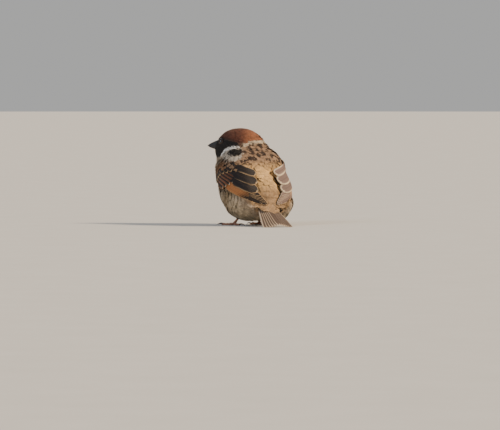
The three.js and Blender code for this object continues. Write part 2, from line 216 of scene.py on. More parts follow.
def wrapped(side, along, up, level):
    """A place of the plan on the plumage: along is an arc of radius WRAP about an axis, up is along it."""
    mirror = np.array([side, 1, 1])
    turn = (along / WRAP)[..., None]
    start = (PLAN_AT + up[..., None] * PLAN_UP) * mirror
    outward = (PLAN_NORMAL * np.cos(turn) + PLAN_ALONG * np.sin(turn)) * mirror
    return start + outward * reach(start, outward, level)[..., None]


def plan_of(points):
    """Along and up of places near the plumage, on the wing of their own side."""
    local = np.abs(points * [1, 0, 0]) + points * [0, 1, 1] - PLAN_AT
    turn = np.arctan2(local @ PLAN_ALONG, local @ PLAN_NORMAL)
    return turn * WRAP, local @ PLAN_UP


def covert_back(up):
    """Where the greater coverts end, at a place across the wing."""
    return 4.9 - 0.09 * (up - 4) ** 2


def median_back(up):
    """Where the median coverts end, at a place across the wing."""
    return np.interp(up, [-6, 0.2, 4.7, 8.9, 11], [-20, -13, -4.5, 1.2, 2.2])


def wing_groups(up):
    """Lowest and highest place across, and front and back end there, of flight feathers, coverts and
    tertials."""
    tip = 25.4 - np.maximum(up + 5, 0) ** 1.2 - 5 * np.maximum(-5.4 - up, 0) ** 0.9
    return (
        (-8.3, 3.5, -6 + 0 * up, tip),
        (-8, 11, -27 + 0.12 * (up - 1.5) ** 2, covert_back(up)),
        (-1.4, 15.4, 5.4 + 0 * up, np.interp(up, [-1.4, 4, 9, 15.4], [18.5, 19, 17, 12.5])),
    )


def wing_gap(along, up):
    """Distance in the plan from the outline of the wing's feathers, 0 inside it."""
    gaps = []
    for low, high, _, _ in wing_groups(up):
        nearest = np.clip(up, low, high)
        front, back = next(g[2:] for g in wing_groups(nearest) if g[0] == low)
        gaps.append(np.hypot(up - nearest, np.maximum(np.maximum(front - along, along - back), 0)))
    return np.minimum.reduce(gaps)


# ---- Coat: its length, lie and level at a place


def coat_length(points):
    """Length of the feathers, by the distance from the bill."""
    away = np.linalg.norm(points - BILL_AT, axis=-1)
    return np.interp(away, [0, 3, 8, 14, 22, 32, 45, 70], [1.0, 1.3, 2.1, 2.9, 4.6, 7.0, 8.6, 9.4])


def coat_depth(points):
    """How far the skin lies under the coat's outer surface."""
    return np.minimum(0.31 * coat_length(points), 2.5)


def coat_lie(points, outward):
    """Direction in which feathers lie: away from the bill on the head, along the trunk's axis behind it."""
    away = points - BILL_AT
    far = np.linalg.norm(away, axis=-1)
    head = 1 - smooth(far, 20, 42)[..., None]
    lie = unit(away) * head + BODY_AXIS * (1 - head)
    return unit(lie - outward * np.sum(lie * outward, axis=-1, keepdims=True))


def coat_level(points):
    """Level of the coat's outer surface: it dips under a wing from beside its lower and back edges, and
    lies over the wing's front and the roots of its upper feathers."""
    along, up = plan_of(points)
    gap = wing_gap(along, up)
    front = smooth(median_back(np.clip(up, -6, 11)) - 2 - along, 0, 4)
    top = smooth(up, 6, 8.5) * (1 - smooth(along - 0.8 * (up - 12), 5, 8.5))
    over = np.maximum(front, top)
    rear = smooth(along, 13, 18) * smooth(up, -8, -5)
    below = 0.8 * smooth(gap, 1.5, 7) * smooth(-up, 5, 9) * smooth(along, -8, 4)
    dip = mix(-0.9, -1.3, rear) * (1 - smooth(gap, 0, mix(2.5, 4, rear))) + below
    beside = mix(dip, 0.8 * (1 - smooth(gap, 0, 6)), over)
    on_wing = mix(-1.5, 1.25 + 0.5 * smooth(up, 2, 8), over)
    near_wing = smooth(np.abs(points[..., 0]), 3, 7)
    return np.where(gap > 0, beside, on_wing) * near_wing


# ---- Markings

TRUNK_MIDDLE = np.array([0, 3.5, 33])


def crown_line(out):
    """Height in the head's frame of the crown's lower edge, at a distance seen half from behind."""
    places = [-12, -9, -7.6, -2.5, 2.1, 6.6, 8.9, 11.7, 14.5, 22]
    heights = [2.4, 3.0, 3.1, 1.6, -0.1, -0.7, -0.6, 0.5, 1.3, 1.5]
    return np.interp(out, places, heights)


def cheek_line(out):
    """Height of the cheek's upper edge, which comes down in front of it."""
    places = [-11.5, -9, -6.7, -4.2, -0.8, 2.1, 4.9, 7.5]
    heights = [-12.6, -7.8, -4.7, -3.6, -2.8, -2.2, -2.1, -1.6]
    return np.interp(out, places, heights)


def spots(across, along, wide, long):
    """Ellipses at the places of a lattice, every other row half a step on, moved a little by sines of their
    row and column."""
    row = np.round(across / wide)
    shifted = along / long + 0.5 * (row % 2) + 0.16 * np.sin(row * 2.9)
    column = np.round(shifted)
    dx = across / wide - row + 0.16 * np.sin(row * 5.1 + column * 2.3)
    dy = shifted - column + 0.12 * np.sin(row * 1.7 + column * 4.9)
    size = 1 + 0.25 * np.sin(row * 3.3 + column * 7.1)
    return 1 - smooth(np.hypot(dx / 0.33, dy / 0.46) / size, 0.75, 1.15)


def layer(under, over, mask):
    """A colour laid over another by a mask's share."""
    return mix(under, over, mask[..., None])


def trunk_markings(points, colours):
    """Base and edge colours, dark spots and the strength of middle streaks on the trunk.

    The angle round its axis from the middle of the back, and the distance along that axis, tell the parts,
    and lattices of ellipses over arc and distance make the spots.
    """
    offset = points - TRUNK_MIDDLE
    axial = offset @ BODY_AXIS
    turn = np.degrees(np.arctan2(offset[..., 0], offset @ DORSAL))
    round_ = np.abs(turn)
    base = np.broadcast_to(colours["breast"], points.shape)
    base = layer(base, colours["belly"], smooth(round_, 100, 135) * smooth(axial, -18, -4))
    beneath = smooth(round_, 58, 80) * (1 - smooth(round_, 122, 150))
    base = layer(base, colours["flank"], 0.8 * smooth(axial, 3, 14) * beneath)
    base = layer(base, colours["vent"], smooth(axial, 18, 27) * smooth(round_, 95, 120))
    mantle = 1 - smooth(round_, 66, 88)
    base = layer(base, colours["mantle"], mantle)
    rump = smooth(axial, -4, 7) * (1 - smooth(round_, 42, 60))
    base = layer(base, colours["rump"], rump)
    border = smooth(round_, 48, 66) * (1 - smooth(round_, 90, 120))
    base = layer(base, colours["pale"], 0.35 * smooth(axial, 12, 20) * border)
    base = layer(base, colours["mantle"], 0.75 * smooth(axial, 17, 25) * (1 - smooth(round_, 40, 62)))
    edge = layer(base, colours["pale"], 0.05 + (0.15 * mantle + 0.05 * rump))
    arc = turn * 0.33
    blots = spots(arc, axial, 4.3, 6.6) * (1 - smooth(round_, 56, 70)) * (1 - rump)
    blots = blots * smooth(axial, -30, -25) * (1 - smooth(axial, 3, 10))
    faint = spots(arc + 2.1, axial + 3, 2.3, 9.5)
    faint = faint * 0.3 * smooth(axial, 9, 16) * (1 - smooth(round_, 125, 150))
    streaked = np.maximum(0.35 * mantle * (1 - rump), 0.1 + 0.14 * rump)
    return base, edge, np.maximum(blots, faint), streaked


def head_markings(points, base, edge, colours):
    """The trunk's base and edge colours with the head's laid over them, and where neither head nor collar
    is. Places are compared with lines and ellipses over height and over 0.94 back - 0.342 side."""
    side, back, up = np.moveaxis(to_head(points), -1, 0)
    side = np.abs(side)
    out = 0.94 * back - 0.342 * side
    collar = smooth(out, 5.5, 8) * (1 - smooth(np.abs(up - crown_line(out) + 1.1), 0.7, 1.9))
    base = layer(base, colours["collar"], 0.6 * collar)
    crown = smooth(up - crown_line(out), -0.3, 0.3) * (1 - smooth(back, 24, 27))
    line = cheek_line(out)
    cheek = 1 - smooth(np.hypot((out + 1.6) / 8.8, (up + 7.9) / 6.2), 0.85, 1.08)
    cheek = cheek * (1 - smooth(up - line, -0.2, 0.3))
    rim = 1 - smooth(line - up, 1.0, 2.6)
    hem = up + 12.6 - 0.13 * side - 0.35 * np.sin(side * 2.1 + 1)
    spot = 1 - smooth(np.hypot((out - 0.1 + 0.12 * up) / 5.6, (up + 7.2 - 0.14 * out) / 2.9), 0.8, 1.15)
    base = layer(base, layer(colours["breast"], colours["cheek"], 0.22 + 0.78 * rim), cheek)
    base = layer(base, colours["bib"], spot * smooth(side, 5, 6) * cheek)
    mask = smooth(up - line, -0.2, 0.3) * (1 - crown) * (1 - smooth(out, 4.5, 8.5)) * smooth(hem, -0.5, 0.5)
    bib = (1 - smooth(side, 4.6, 6.0)) * (1 - smooth(back, -4, -1)) * smooth(hem, -0.5, 0.5)
    dark = np.maximum(mask, bib * (1 - crown))
    base = layer(base, colours["bib"], dark)
    # The crown grows lighter towards the back of the head, to the nape colour: painted sunlight on the back
    # of the head.
    base = layer(base, layer(colours["crown"], colours["nape"], smooth(out, 4, 15)), crown)
    # Darker lower edge of the crown in front: partly the dark line by the eye, partly painted shade on the
    # side of the head.
    low_crown_line_and_shade = crown * (1 - smooth(up - crown_line(out), 0.2, 2.6)) * (1 - smooth(out, 0, 10))
    base = layer(base, colours["bib"], 0.55 * low_crown_line_and_shade)
    headwork = np.maximum.reduce([crown, cheek, dark])
    edge = layer(edge, mix(base, colours["pale"], 0.1), np.maximum(headwork, collar))
    return base, edge, (1 - headwork) * (1 - 0.7 * collar)


def markings(points, colours):
    """Base and edge colours, and the strength of a feather's middle streak, at places of the coat. The
    trunk's spots and streaks fade where the head's markings are."""
    base, edge, blots, streaked = trunk_markings(points, colours)
    base, edge, bare = head_markings(points, base, edge, colours)
    blots = blots * bare
    base, edge = layer(base, colours["streak"], 0.95 * blots), layer(edge, colours["streak"], 0.88 * blots)
    return base, edge, streaked * bare


# ---- Meshes from arrays


def build(name, points, faces, finish, slot, maps=None, coat=None, normals=None):
    """An object at the origin from places in millimetres and triangles. Faces are turned round if the
    volume they enclose is negative. maps holds UV maps, coat a colour and normals the shading's directions,
    each given at every vertex."""
    corners = points[faces[:, 0]], points[faces[:, 1]], points[faces[:, 2]]
    if np.sum(np.cross(corners[0], corners[1]) * corners[2]) < 0:
        faces = faces[:, ::-1]
    mesh = bpy.data.meshes.new(name)
    loops = np.ascontiguousarray(faces).ravel()
    mesh.vertices.add(len(points))
    mesh.vertices.foreach_set("co", ((points + SHIFT) / 1000).ravel())
    mesh.loops.add(len(loops))
    mesh.loops.foreach_set("vertex_index", loops)
    mesh.polygons.add(len(faces))
    mesh.polygons.foreach_set("loop_start", np.arange(len(faces)) * 3)
    mesh.polygons.foreach_set("loop_total", np.full(len(faces), 3))
    mesh.update(calc_edges=True)
    for map_name, places in (maps or {}).items():
        mesh.uv_layers.new(name=map_name).data.foreach_set("uv", places[loops].ravel())
    if coat is not None:
        layer = mesh.color_attributes.new("Coat", "FLOAT_COLOR", "POINT")
        layer.data.foreach_set("color", np.column_stack([coat, np.ones(len(coat))]).ravel())
    mesh.validate()
    mesh.shade_smooth()
    if normals is not None:
        mesh.normals_split_custom_set_from_vertices(normals)
    piece = bpy.data.objects.new(name, mesh)
    bpy.context.scene.collection.objects.link(piece)
    mesh.materials.append(finish)
    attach(piece, "root")
    return piece


def around(steps):
    """Angles of a full turn in equal steps, in radians."""
    return np.linspace(0, 2 * np.pi, steps, endpoint=False)


def tube_faces(rings, steps):
    """Triangles of a closed tube: rings joined by squares, each end closed by a fan to a middle point. The
    two middle points follow the rings."""
    ring, step = np.meshgrid(np.arange(rings - 1), np.arange(steps), indexing="ij")
    a = ring * steps + step
    b = ring * steps + (step + 1) % steps
    sides = np.stack([a, a + steps, b, b, a + steps, b + steps], axis=-1).reshape(-1, 3)
    step = np.arange(steps)
    after = (step + 1) % steps
    first, last = rings * steps, rings * steps + 1
    end = (rings - 1) * steps
    caps = [
        np.stack([np.full(steps, first), step, after], axis=-1),
        np.stack([np.full(steps, last), end + after, end + step], axis=-1),
    ]
    return np.concatenate([sides, *caps])


def tubes(rings):
    """Vertices and triangles of many closed tubes, from their rings: tube, ring, step round, place."""
    count, length, steps = rings.shape[:3]
    points = with_ends(rings).reshape(count, -1, 3)
    faces = tube_faces(length, steps)[None] + (np.arange(count) * points.shape[1])[:, None, None]
    return points.reshape(-1, 3), faces.reshape(-1, 3)


def with_ends(values):
    """Values given at every ring and step, with those of the tube's two middle points after them."""
    count, width = len(values), values.shape[-1]
    ends = np.stack([values[:, 0].mean(axis=1), values[:, -1].mean(axis=1)], axis=1)
    return np.concatenate([values.reshape(count, -1, width), ends], axis=1).reshape(-1, width)


# ---- Skin

AXIS = unit(HEAD_AT - TRUNK_AT)
FRONT = unit(np.array([0, -1, 0]) + AXIS * AXIS[1])
LEFT = np.cross(AXIS, FRONT)


def skin_grid(rows, columns):
    """Places on a fan of rays about the line from trunk to head. Their angle to that line goes from 0 to
    180 degrees down the rows, and their start from the head's centre to the trunk's. Columns go round."""
    down = ((np.arange(rows) + 0.5) / rows)[:, None]
    turn = around(columns)[None, :]
    angle = np.pi * down + 0 * turn
    start = mix(TRUNK_AT, HEAD_AT, (1 - smooth(down, 0.42, 0.64))[..., None] + 0 * turn[..., None])
    ring = FRONT * np.cos(turn)[..., None] + LEFT * np.sin(turn)[..., None]
    outward = AXIS * np.cos(angle)[..., None] + ring * np.sin(angle)[..., None]
    outer = start + outward * reach(start, outward, 0 * angle)[..., None]
    return start, outward, outer


ROOT_GRID, SKIN_GRID = (150, 180), (110, 132)
ROOT_STEPS = 0.7548776662, 0.5698402910  # of a sequence that fills a square evenly


def coat_roots(density_scale, seed):
    """Roots spread evenly for their feathers' length, and their places on the skin's unwrap.

    Each cell of the skin's grid weighs its area over the square of the spacing wanted there. The multiples
    of ROOT_STEPS, without their whole parts, are mapped through the rows' and then the columns' running
    sums.
    """
    rows, columns = ROOT_GRID
    _, _, outer = skin_grid(rows, columns)
    down = np.gradient(outer, axis=0)
    across = (np.roll(outer, -1, axis=1) - np.roll(outer, 1, axis=1)) / 2
    area = np.linalg.norm(np.cross(down, across), axis=-1)
    spacing = density_scale * coat_length(outer) ** 0.97
    weight = area / spacing**2
    by_row = np.concatenate([[0], np.cumsum(weight.sum(axis=1))])
    count = int(by_row[-1])
    k = np.arange(count) + 1
    first = (0.5 + k * ROOT_STEPS[0]) % 1 * by_row[-1]
    second = (0.5 + k * ROOT_STEPS[1]) % 1
    row_place = np.interp(first, by_row, np.arange(rows + 1))
    row = np.minimum(row_place.astype(int), rows - 1)
    running = np.concatenate([np.zeros((rows, 1)), np.cumsum(weight, axis=1)], axis=1)
    running /= running[:, -1:]
    flat = (running[:, 1:] + np.arange(rows)[:, None]).ravel()
    found = np.searchsorted(flat, second + row)
    column = np.clip(found - row * columns, 0, columns - 1)
    before, after = running[row, column], running[row, column + 1]
    share = (second - before) / np.maximum(after - before, 1e-9)
    column_place = column + np.clip(share, 0, 1)
    high = np.clip(row_place - 0.5, 0, rows - 1.001)
    r0 = high.astype(int)
    fr = (high - r0)[:, None]
    wide = column_place % columns
    c0 = wide.astype(int) % columns
    c1 = (c0 + 1) % columns
    fc = (wide - c0)[:, None]
    places = mix(mix(outer[r0, c0], outer[r0, c1], fc), mix(outer[r0 + 1, c0], outer[r0 + 1, c1], fc), fr)
    unwrap = np.column_stack([column_place / columns, row_place / rows])
    jitter = np.random.default_rng(seed).normal(0, 0.16, places.shape)
    places = places + jitter * spacing[r0, c0][:, None]
    height, outward = plumage(places)
    return places - outward * height[:, None], unwrap


# ---- Feathers of separate barbs


def feather_outline(along):
    """Half width of a feather over its widest: rising as a sine to 0.45 of its length, then closing."""
    rising = 0.5 + 0.5 * np.sin(np.clip(along / 0.45, 0, 1) * np.pi / 2)
    closing = np.clip((along - 0.45) / 0.55, 0, 1)
    return np.where(along < 0.45, rising, np.sqrt(np.maximum(1 - closing**2.6, 0)))


def barb_plan(pairs):
    """Feet and tips of a feather's barbs: across over its half width, and along over its length. The barbs
    stand in pairs along the shaft and reach forward to the outline, and one ends the shaft."""
    foot = 0.05 + 0.83 * np.arange(pairs) / pairs
    end = foot + 0.3 * (1 - foot) + 0.02
    half = feather_outline(end)
    zero = 0 * foot
    feet = np.concatenate([np.column_stack([zero, foot])] * 2 + [[[0, 0.84]]])
    tips = np.concatenate([np.column_stack([half, end]), np.column_stack([-half, end]), [[0, 1.0]]])
    return feet, tips


# A barb's vertices are three at its foot, three at its middle and its tip.
BARB_FACES = np.array([
    (0, 3, 4), (0, 4, 1), (1, 4, 5), (1, 5, 2), (2, 5, 3), (2, 3, 0),
    (0, 1, 2), (4, 3, 6), (5, 4, 6), (3, 5, 6),
])
BARB_POINTS = 7
# Feathers from one length to another have this many pairs of barbs.
BARB_PAIRS = ((0, 1.9, 5), (1.9, 3.4, 8), (3.4, 6.2, 16), (6.2, 99, 28))
STATIONS = 6  # steps of a draped shaft
HALF_WIDTH = 0.3  # of a feather, over its length
PATCH = 0.003  # side of a feather's place on OFBake


def drape(roots, length, depth, rise, lie_turn):
    """Shaft lines that start at a depth under the coat's surface and come up to its level along their lie.

    Each step goes a share of the length along the lie, turned by an angle, and is then brought to the level
    wanted there by twice taking off the height's error along the outward direction.
    """
    masses = [*MASSES, TAIL_MASS]
    _, outward = plumage(roots)
    lie = coat_lie(roots, outward)
    lie = lie * np.cos(lie_turn)[:, None] + np.cross(outward, lie) * np.sin(lie_turn)[:, None]
    place = roots
    shaft, normals = [], []
    for station in range(STATIONS + 1):
        t = station / STATIONS
        ease = 1 - (1 - t) ** 2.4
        level = mix(-depth, coat_level(place) + rise * t * t, ease)
        for _ in range(2):
            height, outward = plumage(place, masses)
            place = place - outward * (height - level)[:, None]
        shaft.append(place)
        normals.append(outward)
        lie = unit(lie - outward * np.sum(lie * outward, axis=-1, keepdims=True))
        place = place + lie * (length / STATIONS)[:, None]
    return np.array(shaft), np.array(normals)


def flat_barbs(length, half, ragged, width, pairs, rng):
    """Barbs' vertices laid flat, across and along their feathers, and the direction beside each barb.

    Each barb runs from its foot to its tip, made longer or shorter and moved by ragged. Its middle is bent
    off the straight line, and its sides stand off it by the width.
    """
    feet, tips = barb_plan(pairs)
    reach_out = 1 + rng.normal(0, 1, (len(length), len(feet), 1)) * ragged[:, None, None]
    foot = feet[None] + 0 * reach_out
    tip = foot + (tips - feet)[None] * reach_out
    tip += rng.normal(0, 1, tip.shape) * (ragged[:, None, None] * [0.5, 0.35])
    middle = mix(foot, tip, 0.5) + (tip - foot) * [0.1, -0.06]
    scale = np.stack([half, length], axis=-1)[:, None]
    run = unit((tip - foot) * scale)
    beside = np.stack([-run[..., 1], run[..., 0]], axis=-1)
    foot, middle, tip = foot * scale, middle * scale, tip * scale
    wide, less = beside * width * 0.9, beside * width * 0.85
    flat = [foot - wide, foot + wide, foot, middle - less, middle + less, middle, tip]
    return np.stack(flat, axis=2), beside


def barb_colours(ends, over, along, colours, rng):
    """Colours over barbs: the base with the edge colour on the feather's fringe, a streak of random width
    down its middle, and a shade drawn for each feather and each barb. over is across over half width."""
    count, barbs = over.shape[:2]
    base, edge, streaked = (value[:, :, None] for value in markings(ends, colours))
    bold = rng.uniform(0, 1, count) < 0.62
    streak_wide = rng.uniform(0.22, 0.5, count) * np.where(bold, 1, 0.4)
    streak = (1 - smooth(over / streak_wide[:, None, None], 0.7, 1.3)) * smooth(along, 0.15, 0.4)
    streak = streak * (1 - smooth(along, 0.86, 0.98)) * streaked * rng.uniform(0.55, 1, (count, 1, 1))
    fringe = np.maximum(smooth(over, 0.55, 0.95), smooth(along, 0.84, 1.0))
    shade = (1 + rng.normal(0, 0.09, count))[:, None, None]
    shade = shade * (1 + rng.normal(0, 0.045, (count, barbs)))[..., None]
    deep = mix(0.93, 1.0, smooth(along, 0.1, 0.6))
    coat = layer(layer(base, edge, fringe), colours["streak"], streak)
    return np.clip(coat * (shade * deep)[..., None], 0, 1)


def lay_barbs(roots, unwrap, look, pairs, rng, colours):
    """Vertices, triangles, OFBake places, colours and shading directions of feathers made of barbs.

    A barb is a three-sided strip from the shaft to the outline, with rings at its foot and middle and a
    point at its tip. Its vertices are worked out flat, across and along the feather, and set beside the
    shaft line, sinking by across^2 / 2R for the body's roundness R. The shading's directions lean away from
    the feather's middle and from the barb's ridge, which softens the edges between barbs.
    """
    count = len(roots)
    length = coat_length(roots) * look.coat_length * rng.uniform(0.88, 1.14, count)
    half = HALF_WIDTH * length * rng.uniform(0.9, 1.12, count)
    away = np.linalg.norm(roots - BILL_AT, axis=-1)
    loose = smooth(away, 26, 48)
    below = -(roots - TRUNK_MIDDLE) @ DORSAL
    under = smooth(below, -2, 12) * loose
    tuft = smooth(to_head(roots)[:, 1], 12, 18) * smooth(to_head(roots)[:, 2], 0, 2)
    hind = smooth(roots[:, 1], 10, 19) * smooth(-roots[:, 0], 9, 16) * smooth(-roots[:, 2], -34, -26)
    rise = (0.04 + 0.1 * loose + 0.12 * under + 0.7 * tuft + 0.5 * hind) * look.fluff
    rise = rise * rng.uniform(0.2, 1.3, count)
    turns = rng.normal(0, 0.10 + 0.12 * loose, count)
    shaft, normals = drape(roots, length, coat_depth(roots), rise, turns)

    width = (look.barb_width * 0.83 * length / pairs)[:, None, None]
    flat, beside = flat_barbs(length, half, 0.055 + 0.08 * smooth(below, -12, 4), width, pairs, rng)
    barbs = flat.shape[1]
    thick = 0.12 * width[..., 0] + 0.01
    standing = (0.02 + 0.05 * loose + 0.04 * under)[:, None]
    curl = rng.uniform(-0.2, 1, (count, barbs)) * standing * look.fluff
    low, half_way = 0 * curl, 0.3 * curl
    lift = [low, low, low + 2 * thick, half_way, half_way, half_way + 1.8 * thick, curl]
    lift = np.stack(lift, axis=-1) + thick[..., None] * 0.4

    across, along = flat[..., 0], flat[..., 1] / length[:, None, None]
    place = np.clip(along, 0, 1.12) * STATIONS
    first = np.minimum(place.astype(int), STATIONS - 1)
    share = (place - first)[..., None]
    who = np.arange(count)[:, None, None]
    sideways = unit(np.cross(unit(np.gradient(shaft, axis=0)), normals))
    lines = shaft, normals, sideways
    at, out, wide = (mix(line[first, who], line[first + 1, who], share) for line in lines)
    roundness = np.interp(away, [0, 10, 25, 40], [7, 9.5, 14, 21])[:, None, None]
    points = at + wide * across[..., None] + out * (lift - across**2 / (2 * roundness))[..., None]
    points[..., 2] = np.maximum(points[..., 2], 0.1)

    over = across / half[:, None, None]
    ridge = np.array([-0.3, 0.3, 0, -0.3, 0.3, 0, 0])
    toward = beside[:, :, None] * ridge[:, None]
    tilt_across, tilt_along = 0.3 * over + toward[..., 0], 0.25 * along**2 + toward[..., 1]
    normals = unit(out + wide * tilt_across[..., None] + np.cross(out, wide) * tilt_along[..., None])
    coat = barb_colours(points[:, :, -1], np.abs(over), along, colours, rng)
    patch = [np.clip(over, -1, 1) / 2, np.clip(along, 0, 1) - 0.5]
    bake = np.clip(unwrap[:, None, None] + PATCH * np.stack(patch, axis=-1), 0, 1)
    faces = BARB_FACES[None] + (np.arange(count * barbs) * BARB_POINTS)[:, None, None]
    return [values.reshape(-1, values.shape[-1]) for values in (points, faces, bake, coat, normals)]


# ---- Vanes of wings and tail


def vane_width(along, blunt):
    """Half width over the widest: from a narrow root to full at a quarter, closing round past blunt."""
    opening = mix(0.25, 1, smooth(along, 0, 0.28))
    closing = np.clip((along - blunt) / (1 - blunt), 0, 1)
    return opening * np.sqrt(np.maximum(1 - closing**2.2, 0)) * 0.985 + 0.015


VANE_ACROSS, VANE_RINGS = 11, 30


def vane_grid():
    """Across from -1 to 1 over a vane's top and back under it, 1 on top and -1 under it, and along from
    root to tip."""
    over = np.linspace(-1, 1, VANE_ACROSS)
    across = np.concatenate([over, over[-2:0:-1]])
    top = np.concatenate([np.ones(VANE_ACROSS), -np.ones(VANE_ACROSS - 2)])
    top[[0, VANE_ACROSS - 1]] = 0
    along = np.linspace(0, 1, VANE_RINGS) ** 0.92
    return across[None], top[None], along[:, None]


def atlas(count, across, top, along):
    """OFBake places: each feather has its own cell, its top in one half and its underside in the other."""
    columns = math.ceil(math.sqrt(count * 3))
    cell = np.arange(count)
    corner = np.stack([cell % columns, cell // columns], axis=-1) / columns
    u = 0.25 + 0.21 * across * np.where(top < 0, -1, 1) + np.where(top < 0, 0.5, 0) + 0 * along
    v = 0.04 + 0.92 * along + 0 * across
    return corner[:, None, None] + np.stack([u, v], axis=-1)[None] / columns


def vane_coat(spec, across_mm, along, gap, rng):
    """Colours over a vane: a dark middle, a fringe that narrows to the outline on each web, an outer web of
    its own colour along part of the length, and a tip."""
    col = lambda key: spec[key][:, None, None]
    coat = np.broadcast_to(col("dark"), (*across_mm.shape, 3))
    web = smooth(-across_mm, 0.05, 0.35) * (1 - smooth(along, col("web_end") - 0.2, col("web_end") + 0.08))
    coat = mix(coat, col("web"), (web * col("web_share"))[..., None])
    wide = col("fringe_wide") * np.where(across_mm < 0, 1.25, 0.75)
    fringe = 1 - smooth(gap, wide * 0.5, wide * 1.25)
    coat = mix(coat, col("fringe"), (fringe * smooth(along, 0.2, 0.45))[..., None])
    tip = smooth(along, 1 - col("tip_long"), 1 - 0.4 * col("tip_long"))
    coat = mix(coat, col("tip"), tip[..., None])
    return coat * (1 + rng.normal(0, 0.05, len(coat)))[:, None, None, None]


def lay_vanes(spec, place, rng):
    """Vertices, triangles, maps and colours of vanes.

    A vane's line runs from root to tip in a plan, bowed as a sine. Its half width on each web follows
    vane_width, nicked a little along its edges, and its thickness is an ellipse across it. place takes plan
    coordinates, height and feather number to a point.
    """
    across, top, along = vane_grid()
    count = len(spec["root"])
    col = lambda key: spec[key][:, None, None]
    wide = np.where(across < 0, col("outer"), col("inner")) * vane_width(along, col("blunt"))
    nick = 0.07 * rng.uniform(0, 1, (count, VANE_RINGS, 1)) ** 3
    nick = 1 - nick * smooth(np.abs(across), 0.8, 1) * smooth(along, 0.3, 0.5)
    offset = across * wide * nick
    line = spec["tip_at"] - spec["root"]
    length = np.linalg.norm(line, axis=-1)
    ahead = unit(line)
    beside = np.stack([-ahead[:, 1], ahead[:, 0]], axis=-1)
    bow = col("bow") * np.sin(np.pi * along)
    slant = 0.35 * np.abs(offset) * (1 - along) * smooth(along, 0.1, 0.4)
    flat = (
        spec["root"][:, None, None]
        + ahead[:, None, None] * (along * length[:, None, None] + slant)[..., None]
        + beside[:, None, None] * (offset + bow)[..., None]
    )
    round_ = np.sqrt(np.maximum(1 - across**2, 0))
    height = col("level") + col("camber") * (1 - across**2) * smooth(along, 0, 0.3)
    height = height + top * round_ * col("thick") + col("lift") * along**2
    points = place(flat[..., 0], flat[..., 1], height)
    gap = (1 - np.abs(across)) * wide
    gap = np.minimum(gap, (1 - along) * length[:, None, None] * 0.8)
    coat = vane_coat(spec, offset + 0 * height, along + 0 * height, gap + 0 * height, rng)
    lines = np.stack([offset + 0 * height, along * length[:, None, None] + 0 * height], axis=-1) / 100 + 0.5
    vertices, faces = tubes(points)
    bake = with_ends(atlas(count, across, top, along))
    return vertices, faces, {"OFBake": bake, "Vane": with_ends(lines)}, np.clip(with_ends(coat), 0, 1)


def spec_of(count, colours, **values):
    """One array per property for a set of vanes, from single values, lists or names of colours."""
    usual = {
        "bow": 0.0, "thick": 0.09, "lift": 0.0, "dark": "dark",
        "web": "dark", "web_end": 0.8, "web_share": 0.0,
    }
    made = {}
    for key, value in {**usual, **values}.items():
        if isinstance(value, str):
            value = np.broadcast_to(colours[value], (count, 3))
        value = np.asarray(value, float)
        made[key] = value if value.ndim == 2 else np.broadcast_to(value, (count,))
    return made


